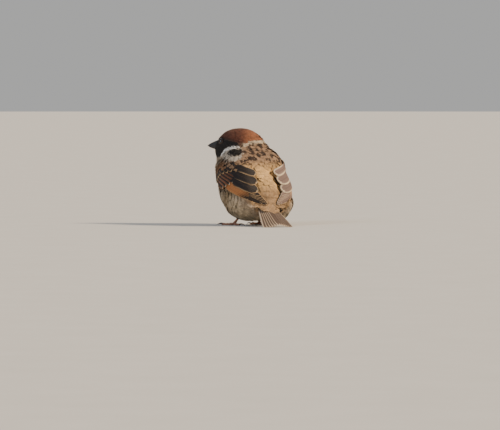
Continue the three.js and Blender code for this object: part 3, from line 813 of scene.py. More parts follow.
def wing_specs(colours):
    """The vaned feathers of one wing: place in the plan, level, widths and markings of each group."""
    primaries = 8
    k = np.linspace(0, 1, primaries)
    flight = spec_of(
        primaries, colours,
        root=np.column_stack([mix(4, -2, k), mix(-1.6, -5.6, k)]),
        tip_at=np.column_stack([
            np.interp(k, [0, 0.55, 0.8, 1], [21.6, 26.0, 26.8, 24.0]), mix(-0.4, -5.9, k),
        ]),
        outer=1.25, inner=1.8, blunt=0.72, level=mix(-0.45, -0.95, k), lift=1.5, camber=0.12, bow=-0.5,
        fringe="fringe", fringe_wide=0.3, tip="fringe", tip_long=0.02,
    )
    count = 7
    k = np.linspace(0, 1, count)
    secondaries = spec_of(
        count, colours,
        root=np.column_stack([np.full(count, -6.0), mix(2.2, -4.6, k)]),
        tip_at=np.column_stack([np.interp(k, [0, 0.6, 1], [19.2, 18.6, 16.4]), mix(0.6, -5.6, k)]),
        outer=2.1, inner=2.1, blunt=0.82, level=mix(0.15, -0.5, k), lift=0.15, camber=0.12, bow=-0.35,
        web="rufous", web_share=0.95, web_end=mix(0.9, 0.8, k),
        fringe="buff", fringe_wide=0.4, tip="buff", tip_long=0.03,
    )
    count = 8
    k = np.linspace(0, 1, count)
    up = np.linspace(9.8, -7.2, count)
    greater = spec_of(
        count, colours,
        root=np.column_stack([np.minimum(-11.5, median_back(up) - 3), 0.82 * up + 1.6]),
        tip_at=np.column_stack([covert_back(up), up]),
        outer=1.9, inner=1.7, blunt=0.74, level=mix(0.72, 0.2, k), camber=0.28, bow=-0.3,
        web="chestnut", web_share=mix(0.1, 1, k), web_end=0.86,
        fringe="rufous", fringe_wide=0.45, tip="pale", tip_long=0.05,
    )
    count = 9
    up = np.linspace(11.2, -5.6, count)
    median = spec_of(
        count, colours,
        root=np.column_stack([median_back(up) - 7.5, 0.9 * up + 1.8]),
        tip_at=np.column_stack([median_back(up), up]),
        outer=1.5, inner=1.5, blunt=0.62, level=mix(1.0, 0.75, np.linspace(0, 1, count)), camber=0.3,
        fringe="buff", fringe_wide=0.25, tip="fringe", tip_long=0.08 + 0.03 * np.sin(3 * up),
    )
    alula = spec_of(
        4, colours,
        root=[(-19, -3.8), (-18.5, -4.8), (-18, -5.6), (-17, -6.2)],
        tip_at=[(-5.5, -7.4), (-8, -7.8), (-10.5, -8.0), (-13, -8.1)],
        outer=1.0, inner=1.1, blunt=0.7, level=[0.1, 0.25, 0.4, 0.55], camber=0.15,
        fringe="rufous", fringe_wide=0.4, tip="buff", tip_long=0.06,
    )
    tertials = spec_of(
        3, colours,
        root=[(-0.5, 2.4), (-1.5, 6.4), (-2.0, 11.2)],
        tip_at=[(19.5, 2.0), (17.5, 7.4), (14.9, 12.3)],
        outer=[4.0, 3.7, 3.0], inner=[3.6, 3.3, 2.7], blunt=0.74, level=[0.6, 1.0, 1.35], lift=0.1,
        camber=0.4, thick=0.12, bow=[-0.5, -0.3, 0.0],
        fringe="fringe", fringe_wide=[0.55, 0.52, 0.5], tip="pale", tip_long=0.035,
    )
    return {
        "flight": flight, "secondaries": secondaries, "greater_coverts": greater, "median_coverts": median,
        "alula": alula, "tertials": tertials,
    }


TAIL_ROOT, TAIL_TILT, TAIL_TURN = np.array([1.6, 26, 16.6]), 32, -6
TAIL_ARCH, TAIL_HALF = 1.6, 11.8
TAIL_FEATHERS = 12


def on_tail(across, along, height):
    """A place of the tail's plate, which sinks by TAIL_ARCH at TAIL_HALF across, laid down to the floor."""
    local = np.stack([across, along, height - TAIL_ARCH * (across / TAIL_HALF) ** 2], axis=-1)
    points = TAIL_ROOT + local @ laid(TAIL_TILT, TAIL_TURN).T
    points[..., 2] = np.maximum(points[..., 2], 0.04 + 0.2 * (height + 0.7))
    return points


def tail_spec(colours):
    """Twelve feathers fanned from the root, the middle pair on top, each tip a little further out."""
    number = np.arange(TAIL_FEATHERS) - (TAIL_FEATHERS - 1) / 2
    order = np.argsort(-np.abs(number))
    number = number[order]
    out = np.abs(number) / 5.5
    length = 31.3 - 2.2 * (1 - out) - 0.9 * smooth(out, 0.85, 1)
    return spec_of(
        TAIL_FEATHERS, colours,
        root=np.column_stack([number * 0.62, np.full(TAIL_FEATHERS, -3.0)]),
        tip_at=np.column_stack([number * np.where(number > 0, 2.05, 1.85), length]),
        outer=2.05, inner=2.05, blunt=0.84, camber=0.3, thick=0.08, bow=-0.35 * np.sign(number),
        level=mix(0.5, -0.45, out) + 0.03 * np.sign(number),
        dark="tail", fringe="tail_edge", fringe_wide=0.78, tip="tail_edge", tip_long=0.03,
    )


def tail_covert_spec(colours):
    """Feathers over the root of the tail, from under the rump's, the middle ones on top."""
    number = np.array([-3.5, 3.5, -2.5, 2.5, -1.5, 1.5, -0.5, 0.5])
    out = np.abs(number) / 3.5
    return spec_of(
        len(number), colours,
        root=np.column_stack([number * 0.9, np.full(len(number), -7.0)]),
        tip_at=np.column_stack([number * 1.75, 8.2 - 2.6 * out]),
        outer=2.0, inner=2.0, blunt=0.7, camber=0.35, thick=0.1, lift=-0.5,
        level=mix(1.5, 0.8, out) + 0.04 * np.sign(number),
        dark="rump", web="mantle", web_share=0.5, fringe="pale", fringe_wide=0.7, tip="pale", tip_long=0.06,
    )


# ---- Finishes


class Value:
    """A shader socket on which arithmetic adds Math nodes."""

    def __init__(self, finish, socket):
        self.finish, self.socket = finish, socket

    def math(self, operation, other=None, swap=False):
        """The result of an operation on this value and another, which comes first if they are swapped."""
        first, second = (other, self) if swap else (self, other)
        sockets = {0: first} if second is None else {0: first, 1: second}
        return self.finish.node("ShaderNodeMath", {"operation": operation}, sockets)

    def __add__(self, other): return self.math("ADD", other)
    def __radd__(self, other): return self.math("ADD", other)
    def __sub__(self, other): return self.math("SUBTRACT", other)
    def __rsub__(self, other): return self.math("SUBTRACT", other, swap=True)
    def __mul__(self, other): return self.math("MULTIPLY", other)
    def __rmul__(self, other): return self.math("MULTIPLY", other)
    def __abs__(self): return self.math("ABSOLUTE")


class Finish:
    """A material on one Principled shader, whose constants are set on it directly."""

    def __init__(self, name, **constants):
        self.material = bpy.data.materials.new(name)
        self.material.use_nodes = True
        self.tree = self.material.node_tree
        self.shader = self.tree.nodes["Principled BSDF"]
        for key, value in constants.items():
            self.shader.inputs[key.replace("_", " ")].default_value = value

    def node(self, kind, settings=None, sockets=None, out=0):
        """One node of a type: its settings first, then values or links for its sockets."""
        made = self.tree.nodes.new(kind)
        for key, value in (settings or {}).items():
            setattr(made, key, value)
        for key, value in (sockets or {}).items():
            self.plug(made.inputs[key], value)
        return Value(self, made.outputs[out])

    def plug(self, socket, value):
        """A value linked to an input, or set on it if it is a constant."""
        if isinstance(value, Value):
            self.tree.links.new(value.socket, socket)
        else:
            socket.default_value = value

    def feed(self, name, value):
        """A value plugged into the shader's own input."""
        self.plug(self.shader.inputs[name], value)

    def place(self):
        """Object coordinates, in metres."""
        return self.node("ShaderNodeTexCoord", out="Object")

    def noise(self, scale, detail=3.0):
        """Noise on object coordinates, of a scale in lumps to the metre."""
        sockets = {"Vector": self.place(), "Scale": scale, "Detail": detail}
        return self.node("ShaderNodeTexNoise", {}, sockets)

    def coat(self):
        """The colour given at the mesh's vertices."""
        return self.node("ShaderNodeAttribute", {"attribute_name": "Coat"}, out="Color")

    def map_axes(self, name):
        """The two coordinates of a UV map."""
        places = self.node("ShaderNodeUVMap", {"uv_map": name})
        return [self.node("ShaderNodeSeparateXYZ", {}, {0: places}, out=axis) for axis in (0, 1)]

    def ramp(self, value, low, high, at_low=0.0, at_high=1.0, curve="SMOOTHSTEP"):
        """A value's way from low to high, as one from at_low to at_high."""
        settings = {"interpolation_type": curve}
        sockets = {0: value, 1: low, 2: high, 3: at_low, 4: at_high}
        return self.node("ShaderNodeMapRange", settings, sockets)

    def blend(self, share, first, second, how="MIX"):
        """Two colours blended by a Mix node."""
        as_colour = lambda c: c if isinstance(c, Value) else (*c, 1.0)
        settings = {"data_type": "RGBA", "blend_type": how}
        sockets = {0: share, 6: as_colour(first), 7: as_colour(second)}
        return self.node("ShaderNodeMix", settings, sockets, out=2)

    def shaded(self, colour, shade):
        """A colour times a value."""
        grey = self.node("ShaderNodeCombineColor", {}, {0: shade, 1: shade, 2: shade})
        return self.blend(1.0, colour, grey, "MULTIPLY")

    def bump(self, height, strength, distance):
        """The shader's normal, leaned by a height whose 1 stands for a distance in metres."""
        sockets = {"Height": height, "Strength": strength, "Distance": distance}
        self.feed("Normal", self.node("ShaderNodeBump", {}, sockets))


def coat_finish(name):
    """Feather colour from the mesh, mottled finely, with a soft matt sheen."""
    finish = Finish(name, Sheen_Weight=0.1, Sheen_Roughness=0.45, Specular_IOR_Level=0.2)
    grain = finish.noise(2600.0)
    shade = 0.72 + grain * 0.36 + finish.noise(260.0) * 0.2
    finish.feed("Base Color", finish.shaded(finish.coat(), shade))
    finish.feed("Roughness", 0.62 + grain * 0.25)
    finish.bump(grain, 0.35, 0.00006)
    return finish.material


def vane_finish(name):
    """A vane's colour from the mesh, with barbs as fine slanting lines from a raised shaft. The Vane map
    holds the distances across and along in hundreds of millimetres from 0.5."""
    finish = Finish(name, Sheen_Weight=0.06, Sheen_Roughness=0.4, Specular_IOR_Level=0.25)
    u, v = finish.map_axes("Vane")
    across, along = abs(u - 0.5), v - 0.5
    slant = along - across * 1.1 + finish.noise(900.0) * 0.004
    barb = (slant * 1500.0).math("SINE")
    split = (slant * 260.0).math("SINE")
    shaft = finish.ramp(across, 0.0007, 0.002, 1.0, 0.0)
    grain = finish.noise(1700.0)
    toned = finish.shaded(finish.coat(), 0.8 + barb * 0.07 + split * 0.04 + grain * 0.32)
    finish.feed("Base Color", finish.blend(shaft * 0.45, toned, tint(58, 44, 36)))
    finish.feed("Roughness", 0.5 + grain * 0.25 + barb * 0.05)
    finish.bump(barb * 0.4 + split * 0.3 + shaft * 2.0, 0.5, 0.00008)
    return finish.material


def horn_finish(name, colour, tip_colour, rough):
    """Horn: dark, with faint lengthwise growth lines and patches of wear."""
    finish = Finish(name, Coat_Roughness=0.3, Specular_IOR_Level=0.5)
    grain = finish.noise(900.0, 4.0)
    wear = finish.noise(3200.0, 2.0)
    finish.feed("Base Color", finish.blend(grain, colour, tip_colour))
    finish.feed("Roughness", rough + grain * 0.2 + wear * 0.1)
    finish.bump(wear + grain * 1.5, 0.3, 0.00005)
    return finish.material


def scale_finish(name, colour, dark):
    """Leg and toe skin: small plates with darker gaps."""
    finish = Finish(name, Subsurface_Weight=0.08, Specular_IOR_Level=0.4)
    settings = {"feature": "DISTANCE_TO_EDGE"}
    sockets = {"Vector": finish.place(), "Scale": 1500.0}
    cell = finish.node("ShaderNodeTexVoronoi", settings, sockets, out="Distance")
    gap = finish.ramp(cell, 0.0, 0.12, 1.0, 0.0, "LINEAR")
    tone = finish.noise(700.0)
    plain = finish.blend(tone, colour, colour * 0.7)
    finish.feed("Base Color", finish.blend(gap * 0.6, plain, dark))
    finish.feed("Roughness", 0.45 + tone * 0.3)
    finish.bump(1 - gap, 0.5, 0.00008)
    return finish.material


def skin_finish(name):
    """Skin under the coat, in the coat's own colours, with small follicle bumps."""
    finish = Finish(name, Specular_IOR_Level=0.2)
    grain = finish.noise(1400.0)
    finish.feed("Base Color", finish.shaded(finish.coat(), 0.85 + grain * 0.3))
    finish.feed("Roughness", 0.7 + grain * 0.2)
    finish.bump(grain, 0.6, 0.0001)
    return finish.material


def eye_finish(name, iris):
    """A dark wet eye: a black pupil, a deep brown iris with fine rays, and a darker rim."""
    finish = Finish(name, Coat_Weight=0.6, Coat_Roughness=0.02, Specular_IOR_Level=0.3, Roughness=0.2)
    angle, out = finish.map_axes("Vane")
    rays = (angle * 420.0).math("SINE") * 0.2 + finish.noise(2500.0)
    pupil = finish.ramp(out, 0.115, 0.135, 1.0, 0.0)
    rim = finish.ramp(out, 0.19, 0.235)
    coloured = finish.blend(rays, iris * 0.6, iris * 1.3)
    black = tint(9, 7, 6)
    finish.feed("Base Color", finish.blend(rim, finish.blend(pupil, coloured, black), black))
    return finish.material


# ---- What a user would change


def colour_property(name, description, red, green, blue):
    """A colour to choose, with its default in display values."""
    return FloatVectorProperty(
        name=name, description=description, subtype="COLOR", size=3, min=0, max=1,
        default=tuple(tint(red, green, blue)),
    )


class SparrowColours(bpy.types.PropertyGroup):
    """Plumage and horn colours."""

    crown: colour_property("Crown", "Crown of the head", 84, 46, 33)
    # Lighter than the crown: painted sunlight on the back of the head.
    nape: colour_property("Nape", "Back of the crown", 126, 77, 50)
    collar: colour_property("Collar", "Narrow line behind the crown", 205, 190, 165)
    cheek: colour_property("Cheek", "Side of the head", 222, 219, 212)
    bib: colour_property("Bib", "Lores, bib and ear spot", 18, 16, 18)
    mantle: colour_property("Mantle", "Upper back", 138, 110, 86)
    streak: colour_property("Streaks", "Middles of the back's feathers", 42, 31, 27)
    rump: colour_property("Rump", "Lower back and rump", 212, 170, 112)
    breast: colour_property("Breast", "Breast and its sides", 152, 136, 116)
    belly: colour_property("Belly", "Belly", 176, 161, 134)
    flank: colour_property("Flanks", "Flanks", 142, 120, 86)
    vent: colour_property("Vent", "Under the tail", 168, 154, 130)
    pale: colour_property("Pale", "Pale tips and edges", 226, 212, 186)
    chestnut: colour_property("Chestnut", "Lesser and greater coverts", 122, 76, 52)
    rufous: colour_property("Rufous", "Panel of the folded wing", 156, 98, 52)
    dark: colour_property("Dark", "Middles of the wing's feathers", 25, 19, 19)
    # Painted sunlight: lighter middles for the right wing's feathers, standing for the sun on that side,
    # not for a real difference from the left wing.
    worn: colour_property("Worn", "Middles of the right wing's feathers, lit by the sun", 114, 93, 85)
    fringe: colour_property("Fringe", "Edges of the tertials", 214, 180, 138)
    buff: colour_property("Buff", "Edges of the flight feathers", 176, 138, 96)
    tail: colour_property("Tail", "Tail feathers", 86, 70, 60)
    tail_edge: colour_property("Tail edges", "Edges of the tail feathers", 204, 182, 156)
    bill: colour_property("Bill", "Bill", 24, 23, 25)
    leg: colour_property("Legs", "Legs and toes", 156, 112, 90)
    claw: colour_property("Claws", "Claws", 52, 40, 36)
    iris: colour_property("Iris", "Iris of the eye", 58, 34, 22)


class SparrowSizes(bpy.types.PropertyGroup):
    """Sizes of the coat and the stage."""

    coat_length: FloatProperty(
        name="Coat length", description="Length of the feathers over their usual length",
        default=1.0, min=0.5, max=1.5, subtype="FACTOR",
    )
    fluff: FloatProperty(
        name="Fluff", description="How far barbs stand out of the coat",
        default=1.0, min=0, max=3, subtype="FACTOR",
    )
    barb_width: FloatProperty(
        name="Barb width", description="Half width of a barb over the gap between barbs",
        default=0.8, min=0.2, max=1.2, subtype="FACTOR",
    )
    spacing: FloatProperty(
        name="Spacing", description="Gap between feathers of 1 mm, which grows with their length",
        default=0.315, min=0.2, max=1.0,
    )
    seed: IntProperty(name="Seed", description="Start of the random draws", default=7, min=0)
    camera_distance: FloatProperty(
        name="Camera distance", description="From the camera to the bird",
        default=3.0, min=0.5, max=10, unit="LENGTH",
    )


def colours_of(context):
    """The colours as arrays by name."""
    group = context.scene.sparrow_colours
    return {key: np.array(getattr(group, key)) for key in group.__annotations__}


# ---- Operators


class SPARROW_OT_skin(bpy.types.Operator):
    """Skin of head, neck and trunk: one closed surface under the coat, by the coat's depth."""

    bl_idname = "sparrow.skin"
    bl_label = "Skin"

    def execute(self, context):
        rows, columns = SKIN_GRID
        start, outward, outer = skin_grid(rows, columns)
        along, up = plan_of(outer)
        bed = 2.2 * (1 - smooth(wing_gap(along, up), 0.5, 5)) * smooth(np.abs(outer[..., 0]), 3, 7)
        depth = coat_depth(outer) + bed
        points = start + outward * reach(start, outward, -depth)[..., None]
        base, _, _ = markings(outer, colours_of(context))
        column = np.arange(columns) / columns + 0 * points[..., 0]
        row = (np.arange(rows)[:, None] + 0.5) / rows + 0 * column
        vertices, faces = tubes(points[None])
        maps = {"Lie": with_ends(np.stack([column, row], axis=-1)[None])}
        piece = build("skin", vertices, faces, skin_finish("skin"), "plumage", maps, with_ends(base[None]))
        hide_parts("head", "neck", "trunk")
        return {"FINISHED"}


# Numbers that go with the seed into the random draws. The coat's other pieces count from 0.
LESSER_DRAWS, WING_DRAWS, TAIL_DRAWS = 40, 60, 80

# Seats of the coat's pieces: a feather belongs to the nearest.
COAT_SEATS = {
    "crown": in_head((0, 2, 10)), "nape": in_head((0, 18, 5)),
    "face": in_head((0, -9, 0)), "throat": in_head((0, -8, -11)),
    "cheek_left": in_head((11, 1, -6)), "cheek_right": in_head((-11, 1, -6)),
    "mantle": np.array([0, 14, 54]), "back": np.array([0, 26, 40]),
    "rump": np.array([0, 34, 24]), "vent": np.array([0, 30, 6]),
    "breast": np.array([0, -24, 42]), "belly": np.array([0, -14, 16]),
    "shoulder_left": np.array([24, -4, 46]), "shoulder_right": np.array([-24, -2, 50]),
    "flank_left": np.array([24, 10, 16]), "flank_right": np.array([-24, 10, 16]),
}


class SPARROW_OT_coat(bpy.types.Operator):
    """Contour feathers over the skin: barbs from draped shafts, smallest at the bill."""

    bl_idname = "sparrow.coat"
    bl_label = "Coat"

    def execute(self, context):
        sizes, colours = context.scene.sparrow_sizes, colours_of(context)
        roots, unwrap = coat_roots(sizes.spacing, sizes.seed)
        keep, lesser = self.feathered(roots)
        roots, unwrap, lesser = roots[keep], unwrap[keep], lesser[keep]
        seats = np.array(list(COAT_SEATS.values()))
        nearest = np.argmin(np.linalg.norm(roots[:, None] - seats[None], axis=-1), axis=1)
        finish = coat_finish("plumage")
        for number, name in enumerate(COAT_SEATS):
            chosen = (nearest == number) & ~lesser
            self.lay(sizes, f"coat_{name}", roots[chosen], unwrap[chosen], finish, number, colours)
        brown = mix(colours["chestnut"], colours["flank"], 0.35) * 0.8
        warm = dict(colours, breast=brown, mantle=brown, flank=brown, belly=brown)
        for number, (word, side) in enumerate(SIDES.items(), start=LESSER_DRAWS):
            chosen = lesser & (roots[:, 0] * side > 0)
            name = f"coat_lesser_coverts_{word}"
            self.lay(sizes, name, roots[chosen], unwrap[chosen], finish, number, warm)
        return {"FINISHED"}

    def feathered(self, roots):
        """Which roots bear a feather of the coat, and which of them are a wing's lesser coverts. Eyes and
        the bill's base are bare. Under a wing's vanes only those stay whose ends come out past its edge."""
        keep = np.ones(len(roots), bool)
        for centre in EYES.values():
            keep &= np.linalg.norm(roots - centre, axis=1) > EYE_RADIUS + 0.05
        side, back, up = to_head(roots).T
        keep &= ~((back < BILL_BASE + 1.2) & (np.abs(side) < 3.2) & (up < 1.6) & (up > -6.0))
        along, up = plan_of(roots)
        on_wing = (wing_gap(along, up) < 0.4) & (np.abs(roots[:, 0]) > 4)
        lesser = on_wing & (along < median_back(np.clip(up, -6, 11)) - 4.0)
        scapular = on_wing & (up > 9.5) & (along - 0.8 * (up - 12) < 0)
        _, outward = plumage(roots)
        lie = coat_lie(roots, outward)
        ends = [roots + lie * (share * coat_length(roots))[:, None] for share in (0.5, 0.8, 1.0)]
        emerging = np.max([wing_gap(*plan_of(end)) for end in ends], axis=0) > 0.3
        return keep & (~on_wing | lesser | scapular | emerging), lesser

    def lay(self, sizes, name, roots, unwrap, finish, number, colours):
        """One piece of the coat, with fewer barbs on shorter feathers."""
        rng = np.random.default_rng([sizes.seed, number])
        length = coat_length(roots)
        parts = []
        for low, high, pairs in BARB_PAIRS:
            chosen = (length >= low) & (length < high)
            if chosen.any():
                parts.append(lay_barbs(roots[chosen], unwrap[chosen], sizes, pairs, rng, colours))
        if not parts:
            raise RuntimeError(f"no feather belongs to {name}")
        starts = np.cumsum([0] + [len(p[0]) for p in parts[:-1]])
        points, bake, coat, normals = (np.concatenate([p[i] for p in parts]) for i in (0, 2, 3, 4))
        faces = np.concatenate([p[1] + start for p, start in zip(parts, starts)])
        build(name, points, faces, finish, "plumage", {"OFBake": bake}, coat, normals)


class SPARROW_OT_wings(bpy.types.Operator):
    """Folded wings: primaries, secondaries, alula, coverts and tertials as vanes on the wrapped plan."""

    bl_idname = "sparrow.wings"
    bl_label = "Wings"

    def execute(self, context):
        colours = colours_of(context)
        finish = vane_finish("feather")
        instead = {"flight": "flight", "greater_coverts": "coverts", "tertials": "tertials"}
        for number, (word, side) in enumerate(SIDES.items(), start=WING_DRAWS):
            rng = np.random.default_rng([context.scene.sparrow_sizes.seed, number])
            # The right wing takes lighter colours: painted sunlight and sheen on the side that the key
            # light strikes.
            specs = wing_specs(colours if word == "left" else self.worn(colours))
            # Wider pale edges on the right tertials: a painted highlight where the sun catches them.
            if word == "right":
                specs["tertials"]["fringe_wide"] = specs["tertials"]["fringe_wide"] * 1.9
            for group, spec in specs.items():
                place = lambda along, up, level: wrapped(side, along, up, level)
                vertices, faces, maps, coat = lay_vanes(spec, place, rng)
                piece = build(f"wing_{word}_{group}_vanes", vertices, faces, finish, "feather", maps, coat)
                if group in instead:
                    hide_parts(f"wing_{word}_{instead[group]}")
        return {"FINISHED"}

    def worn(self, colours):
        """The colours of the right wing made lighter: painted sunlight on the side that the key light
        strikes. The feathers themselves are the same colour as the left wing's.
        """
        pale = colours["pale"]
        fringe, rufous = mix(colours["fringe"], pale, 0.6), mix(colours["rufous"], pale, 0.25)
        return dict(colours, dark=colours["worn"], fringe=fringe, rufous=rufous)


class SPARROW_OT_tail(bpy.types.Operator):
    """Tail: twelve vanes, slightly fanned and notched, lying down to the floor."""

    bl_idname = "sparrow.tail"
    bl_label = "Tail"

    def execute(self, context):
        rng = np.random.default_rng([context.scene.sparrow_sizes.seed, TAIL_DRAWS])
        finish = vane_finish("tail_feather")
        for name, spec in (("tail_vanes", tail_spec), ("tail_coverts", tail_covert_spec)):
            vertices, faces, maps, coat = lay_vanes(spec(colours_of(context)), on_tail, rng)
            piece = build(name, vertices, faces, finish, "feather", maps, coat)
            if spec is tail_spec:
                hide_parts("tail")
        return {"FINISHED"}


class SPARROW_OT_bill(bpy.types.Operator):
    """Bill: two half-round horns on a bite line, thinning to the tip, with nostril pits."""

    bl_idname = "sparrow.bill"
    bl_label = "Bill"

    def execute(self, context):
        colours = colours_of(context)
        finish = horn_finish("horn", colours["bill"], colours["bill"] * 2.2, 0.3)
        for word, up in (("upper", 1), ("lower", -1)):
            piece = build(f"bill_{word}_horn", *tubes(self.half(up)[None]), finish, "horn")
            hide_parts(f"bill_{word}")
        return {"FINISHED"}

    def half(self, up):
        """Rings of one half. Round it, side is the half width times a cosine and height the ridge times a
        power of a sine above the bite. Both thin along it as powers of what is left to the tip."""
        t = np.linspace(-0.1, 1, 40)[:, None]
        turn = around(32)[None, :]
        left = np.clip(1 - t, 0, 1)
        height, power, shorter = (4.8, 0.64, 0) if up > 0 else (3.5, 0.74, 0.7)
        round_tip = np.sqrt(np.clip(left / 0.035, 0, 1))
        tall = height * np.maximum(left**power, 0.28 / height) * round_tip
        wide = 3.5 * np.maximum(left**0.9, 0.09) * round_tip
        wave = np.sin(turn)
        over = np.where(wave > 0, wave**0.85, 0)
        under = np.where(wave < 0, -0.06 * np.abs(wave), 0)
        ridge = 1 + 0.05 * np.exp(-((turn - np.pi / 2) / 0.22) ** 2) * up
        side = wide * np.cos(turn) * (1 - 0.1 * over)
        bite = GAPE - 0.2 * t - 0.35 * smooth(0.18 - t, 0, 0.25) + 0.08 * up
        rise = tall * (over * ridge + under)
        pit = np.exp(-(((t - 0.1) / 0.05) ** 2) - ((np.abs(np.cos(turn)) - 0.72) / 0.16) ** 2)
        pit = pit * (up > 0) * (wave > 0)
        side = side * (1 - 0.16 * pit)
        back = mix(BILL_BASE, BILL_TIP + shorter, t) + 0 * turn
        return in_head(np.stack([side, back, bite + up * rise * (1 - 0.08 * pit)], axis=-1))


# Angles in degrees from the eye's axis, and distances from the ball's centre, round the lid's section.
LID_PROFILE = np.array([
    (36, 2.93), (37.5, 3.08), (41, 3.2), (46, 3.22), (52, 3.1), (58, 2.8), (50, 2.7), (40, 2.75),
])


class SPARROW_OT_eyes(bpy.types.Operator):
    """Eyes: a ball with a raised cornea, and a ring of lid skin round its opening."""

    bl_idname = "sparrow.eyes"
    bl_label = "Eyes"

    def execute(self, context):
        colours = colours_of(context)
        ball = eye_finish("eye", colours["iris"])
        lid = scale_finish("lid", tint(34, 29, 27), tint(14, 12, 12))
        for word, side in SIDES.items():
            axes = np.stack([HEAD_ROWS[1], HEAD_ROWS[2], HEAD_ROWS[0] * side])
            turn = around(48)[None, :]
            polar = np.pi * ((np.arange(40) + 0.5) / 40)[:, None]
            radius = EYE_RADIUS * (1 + 0.035 * np.exp(-((polar / 0.45) ** 2)))
            points = EYES[word] + (self.on_ball(polar, turn) * radius[..., None]) @ axes
            where = np.stack([turn / (2 * np.pi) + 0 * polar, polar / np.pi + 0 * turn], axis=-1)
            maps = {"Vane": with_ends(where[None])}
            piece = build(f"eye_{word}_ball", *tubes(points[None]), ball, "eye", maps)
            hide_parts(f"eye_{word}")
            build(f"eyelid_{word}", *self.lids(EYES[word], axes), lid, "scales")
        return {"FINISHED"}

    def on_ball(self, polar, turn):
        """A place on the unit ball at an angle from the eye's axis and a turn about it."""
        rows = [np.sin(polar) * np.cos(turn), np.sin(polar) * np.sin(turn), np.cos(polar) + 0 * turn]
        return np.stack(rows, axis=-1)

    def lids(self, centre, axes):
        """A closed ring about the eye's axis from LID_PROFILE, whose opening is lower than it is long."""
        turn = around(72)[:, None]
        polar = np.radians(LID_PROFILE[None, :, 0]) * (1 - 0.1 * np.sin(turn) ** 2 - 0.03 * np.sin(turn))
        far = LID_PROFILE[None, :, 1] * (1 + 0.008 * np.sin(9 * turn))
        local = self.on_ball(polar, turn) * far[..., None]
        steps, corners = local.shape[:2]
        i, j = np.meshgrid(np.arange(steps), np.arange(corners), indexing="ij")
        after, beside = (i + 1) % steps * corners, (j + 1) % corners
        a, b, c, d = i * corners + j, i * corners + beside, after + j, after + beside
        faces = np.stack([a, c, b, b, c, d], axis=-1).reshape(-1, 3)
        return (centre + local @ axes).reshape(-1, 3), faces


HUB, ANKLE = np.array([11, -2, 1.1]), np.array([6, 8, 14])
FOOT_TURN = 12
# Spread in degrees, length, length of the claw and half thickness of each toe.
TOES = {1: (176, 6.6, 6.2, 0.88), 2: (-27, 8.6, 4.2, 0.78), 3: (0, 12, 5, 0.86), 4: (29, 9.2, 4.2, 0.76)}
FLAT = 0.25  # how much of a toe the floor takes off
FOOT_STEPS, CLAW_STEPS = 20, 14


def swept(path, half_across, half_up, steps):
    """Rings round a path: a circle scaled across and upwards, with up kept as near Z as the path lets."""
    ahead = unit(np.gradient(path, axis=0))
    across = unit(np.cross(ahead, [0, 0, 1]))
    over = np.cross(across, ahead)
    turn = around(steps)[:, None]
    ring = across[:, None] * np.cos(turn) * half_across[..., None]
    return path[:, None] + ring + over[:, None] * np.sin(turn) * half_up[..., None]


def bezier(t, *points):
    """A Bezier curve: each control point weighs its binomial number times powers of 1 - t and t."""
    degree, t = len(points) - 1, t[:, None]
    weights = [math.comb(degree, i) * (1 - t) ** (degree - i) * t**i for i in range(degree + 1)]
    return sum(weight * point for weight, point in zip(weights, points))


def heading(side, spread):
    """Direction on the floor of a toe that is spread from its foot's middle by some degrees."""
    angle = math.radians(FOOT_TURN + spread)
    return np.array([side * math.sin(angle), -math.cos(angle), 0])


class SPARROW_OT_feet(bpy.types.Operator):
    """Feet: a shank with cross plates and four toes with pads, standing on small flats."""

    bl_idname = "sparrow.feet"
    bl_label = "Legs and toes"

    def execute(self, context):
        colours = colours_of(context)
        finish = scale_finish("scales", colours["leg"], colours["leg"] * 0.35)
        for word, side in SIDES.items():
            rings = [self.shank(side)] + [self.toe(side, toe) for toe in TOES.values()]
            piece = build(f"foot_{word}", *tubes(np.stack(rings)), finish, "scales")
            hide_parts(f"leg_{word}", *(f"toe_{word}_{number}" for number in TOES))
        return {"FINISHED"}

    def plates(self, t, count, depth):
        """Steps on the front half: each plate swells from its upper edge and drops at its lower one."""
        saw = (t * count) % 1
        return 1 + depth * (saw - 0.5)[:, None] * smooth(np.sin(around(FOOT_STEPS))[None], -0.1, 0.5)

    def shank(self, side):
        """Rings from the ankle down to the hub of the toes, thicker at both."""
        mirror = np.array([side, 1, 1])
        ankle, hub = ANKLE * mirror, HUB * mirror
        t = np.linspace(-0.15, 1, 72)
        path = bezier(t, ankle, (ankle + hub) / 2 + [0, 0.5, 0.3], hub)
        half = mix(mix(1.25, 0.85, smooth(t, 0, 0.3)), 1.2, smooth(t, 0.78, 1))
        half = half * np.sqrt(np.clip((1.0 - t) / 0.03 + 0.05, 0, 1))
        grown = half[:, None] * self.plates(t, 13, 0.16)
        rings = swept(path, grown, grown, FOOT_STEPS)
        rings[..., 2] = np.maximum(rings[..., 2], 0.1)
        return rings

    def toe(self, side, toe):
        """Rings from the hub to the toe's end, swelling at its pads and flattened by the floor."""
        spread, length, _, thick = toe
        t = np.linspace(-0.12, 1.03, 72)
        low = thick - FLAT
        places, raised = [-0.12, 0, 0.2, 0.45, 0.75, 1.0, 1.03], [0.9, 0.6, 0.3, 0, 0, 0.1, 0.1]
        height = np.interp(t, places, raised) + low
        height = np.convolve(np.pad(height, 6, mode="edge"), np.ones(13) / 13, mode="valid")
        path = HUB * [side, 1, 0] + heading(side, spread) * mix(0.4, length, t)[:, None]
        path[:, 2] += height
        pads = 1 - 0.12 * np.sin(2 * np.pi * (3 * t + 0.1)) - 0.14 * t
        ends = np.sqrt(np.clip((1.03 - t) / 0.06, 0.02, 1)) * np.sqrt(np.clip((t + 0.13) / 0.04, 0.1, 1))
        half = (thick * pads * ends)[:, None] * self.plates(t, int(length * 1.3), 0.13)
        rings = swept(path, half, half, FOOT_STEPS)
        rings[..., 2] = np.maximum(rings[..., 2], 0.0)
        return rings


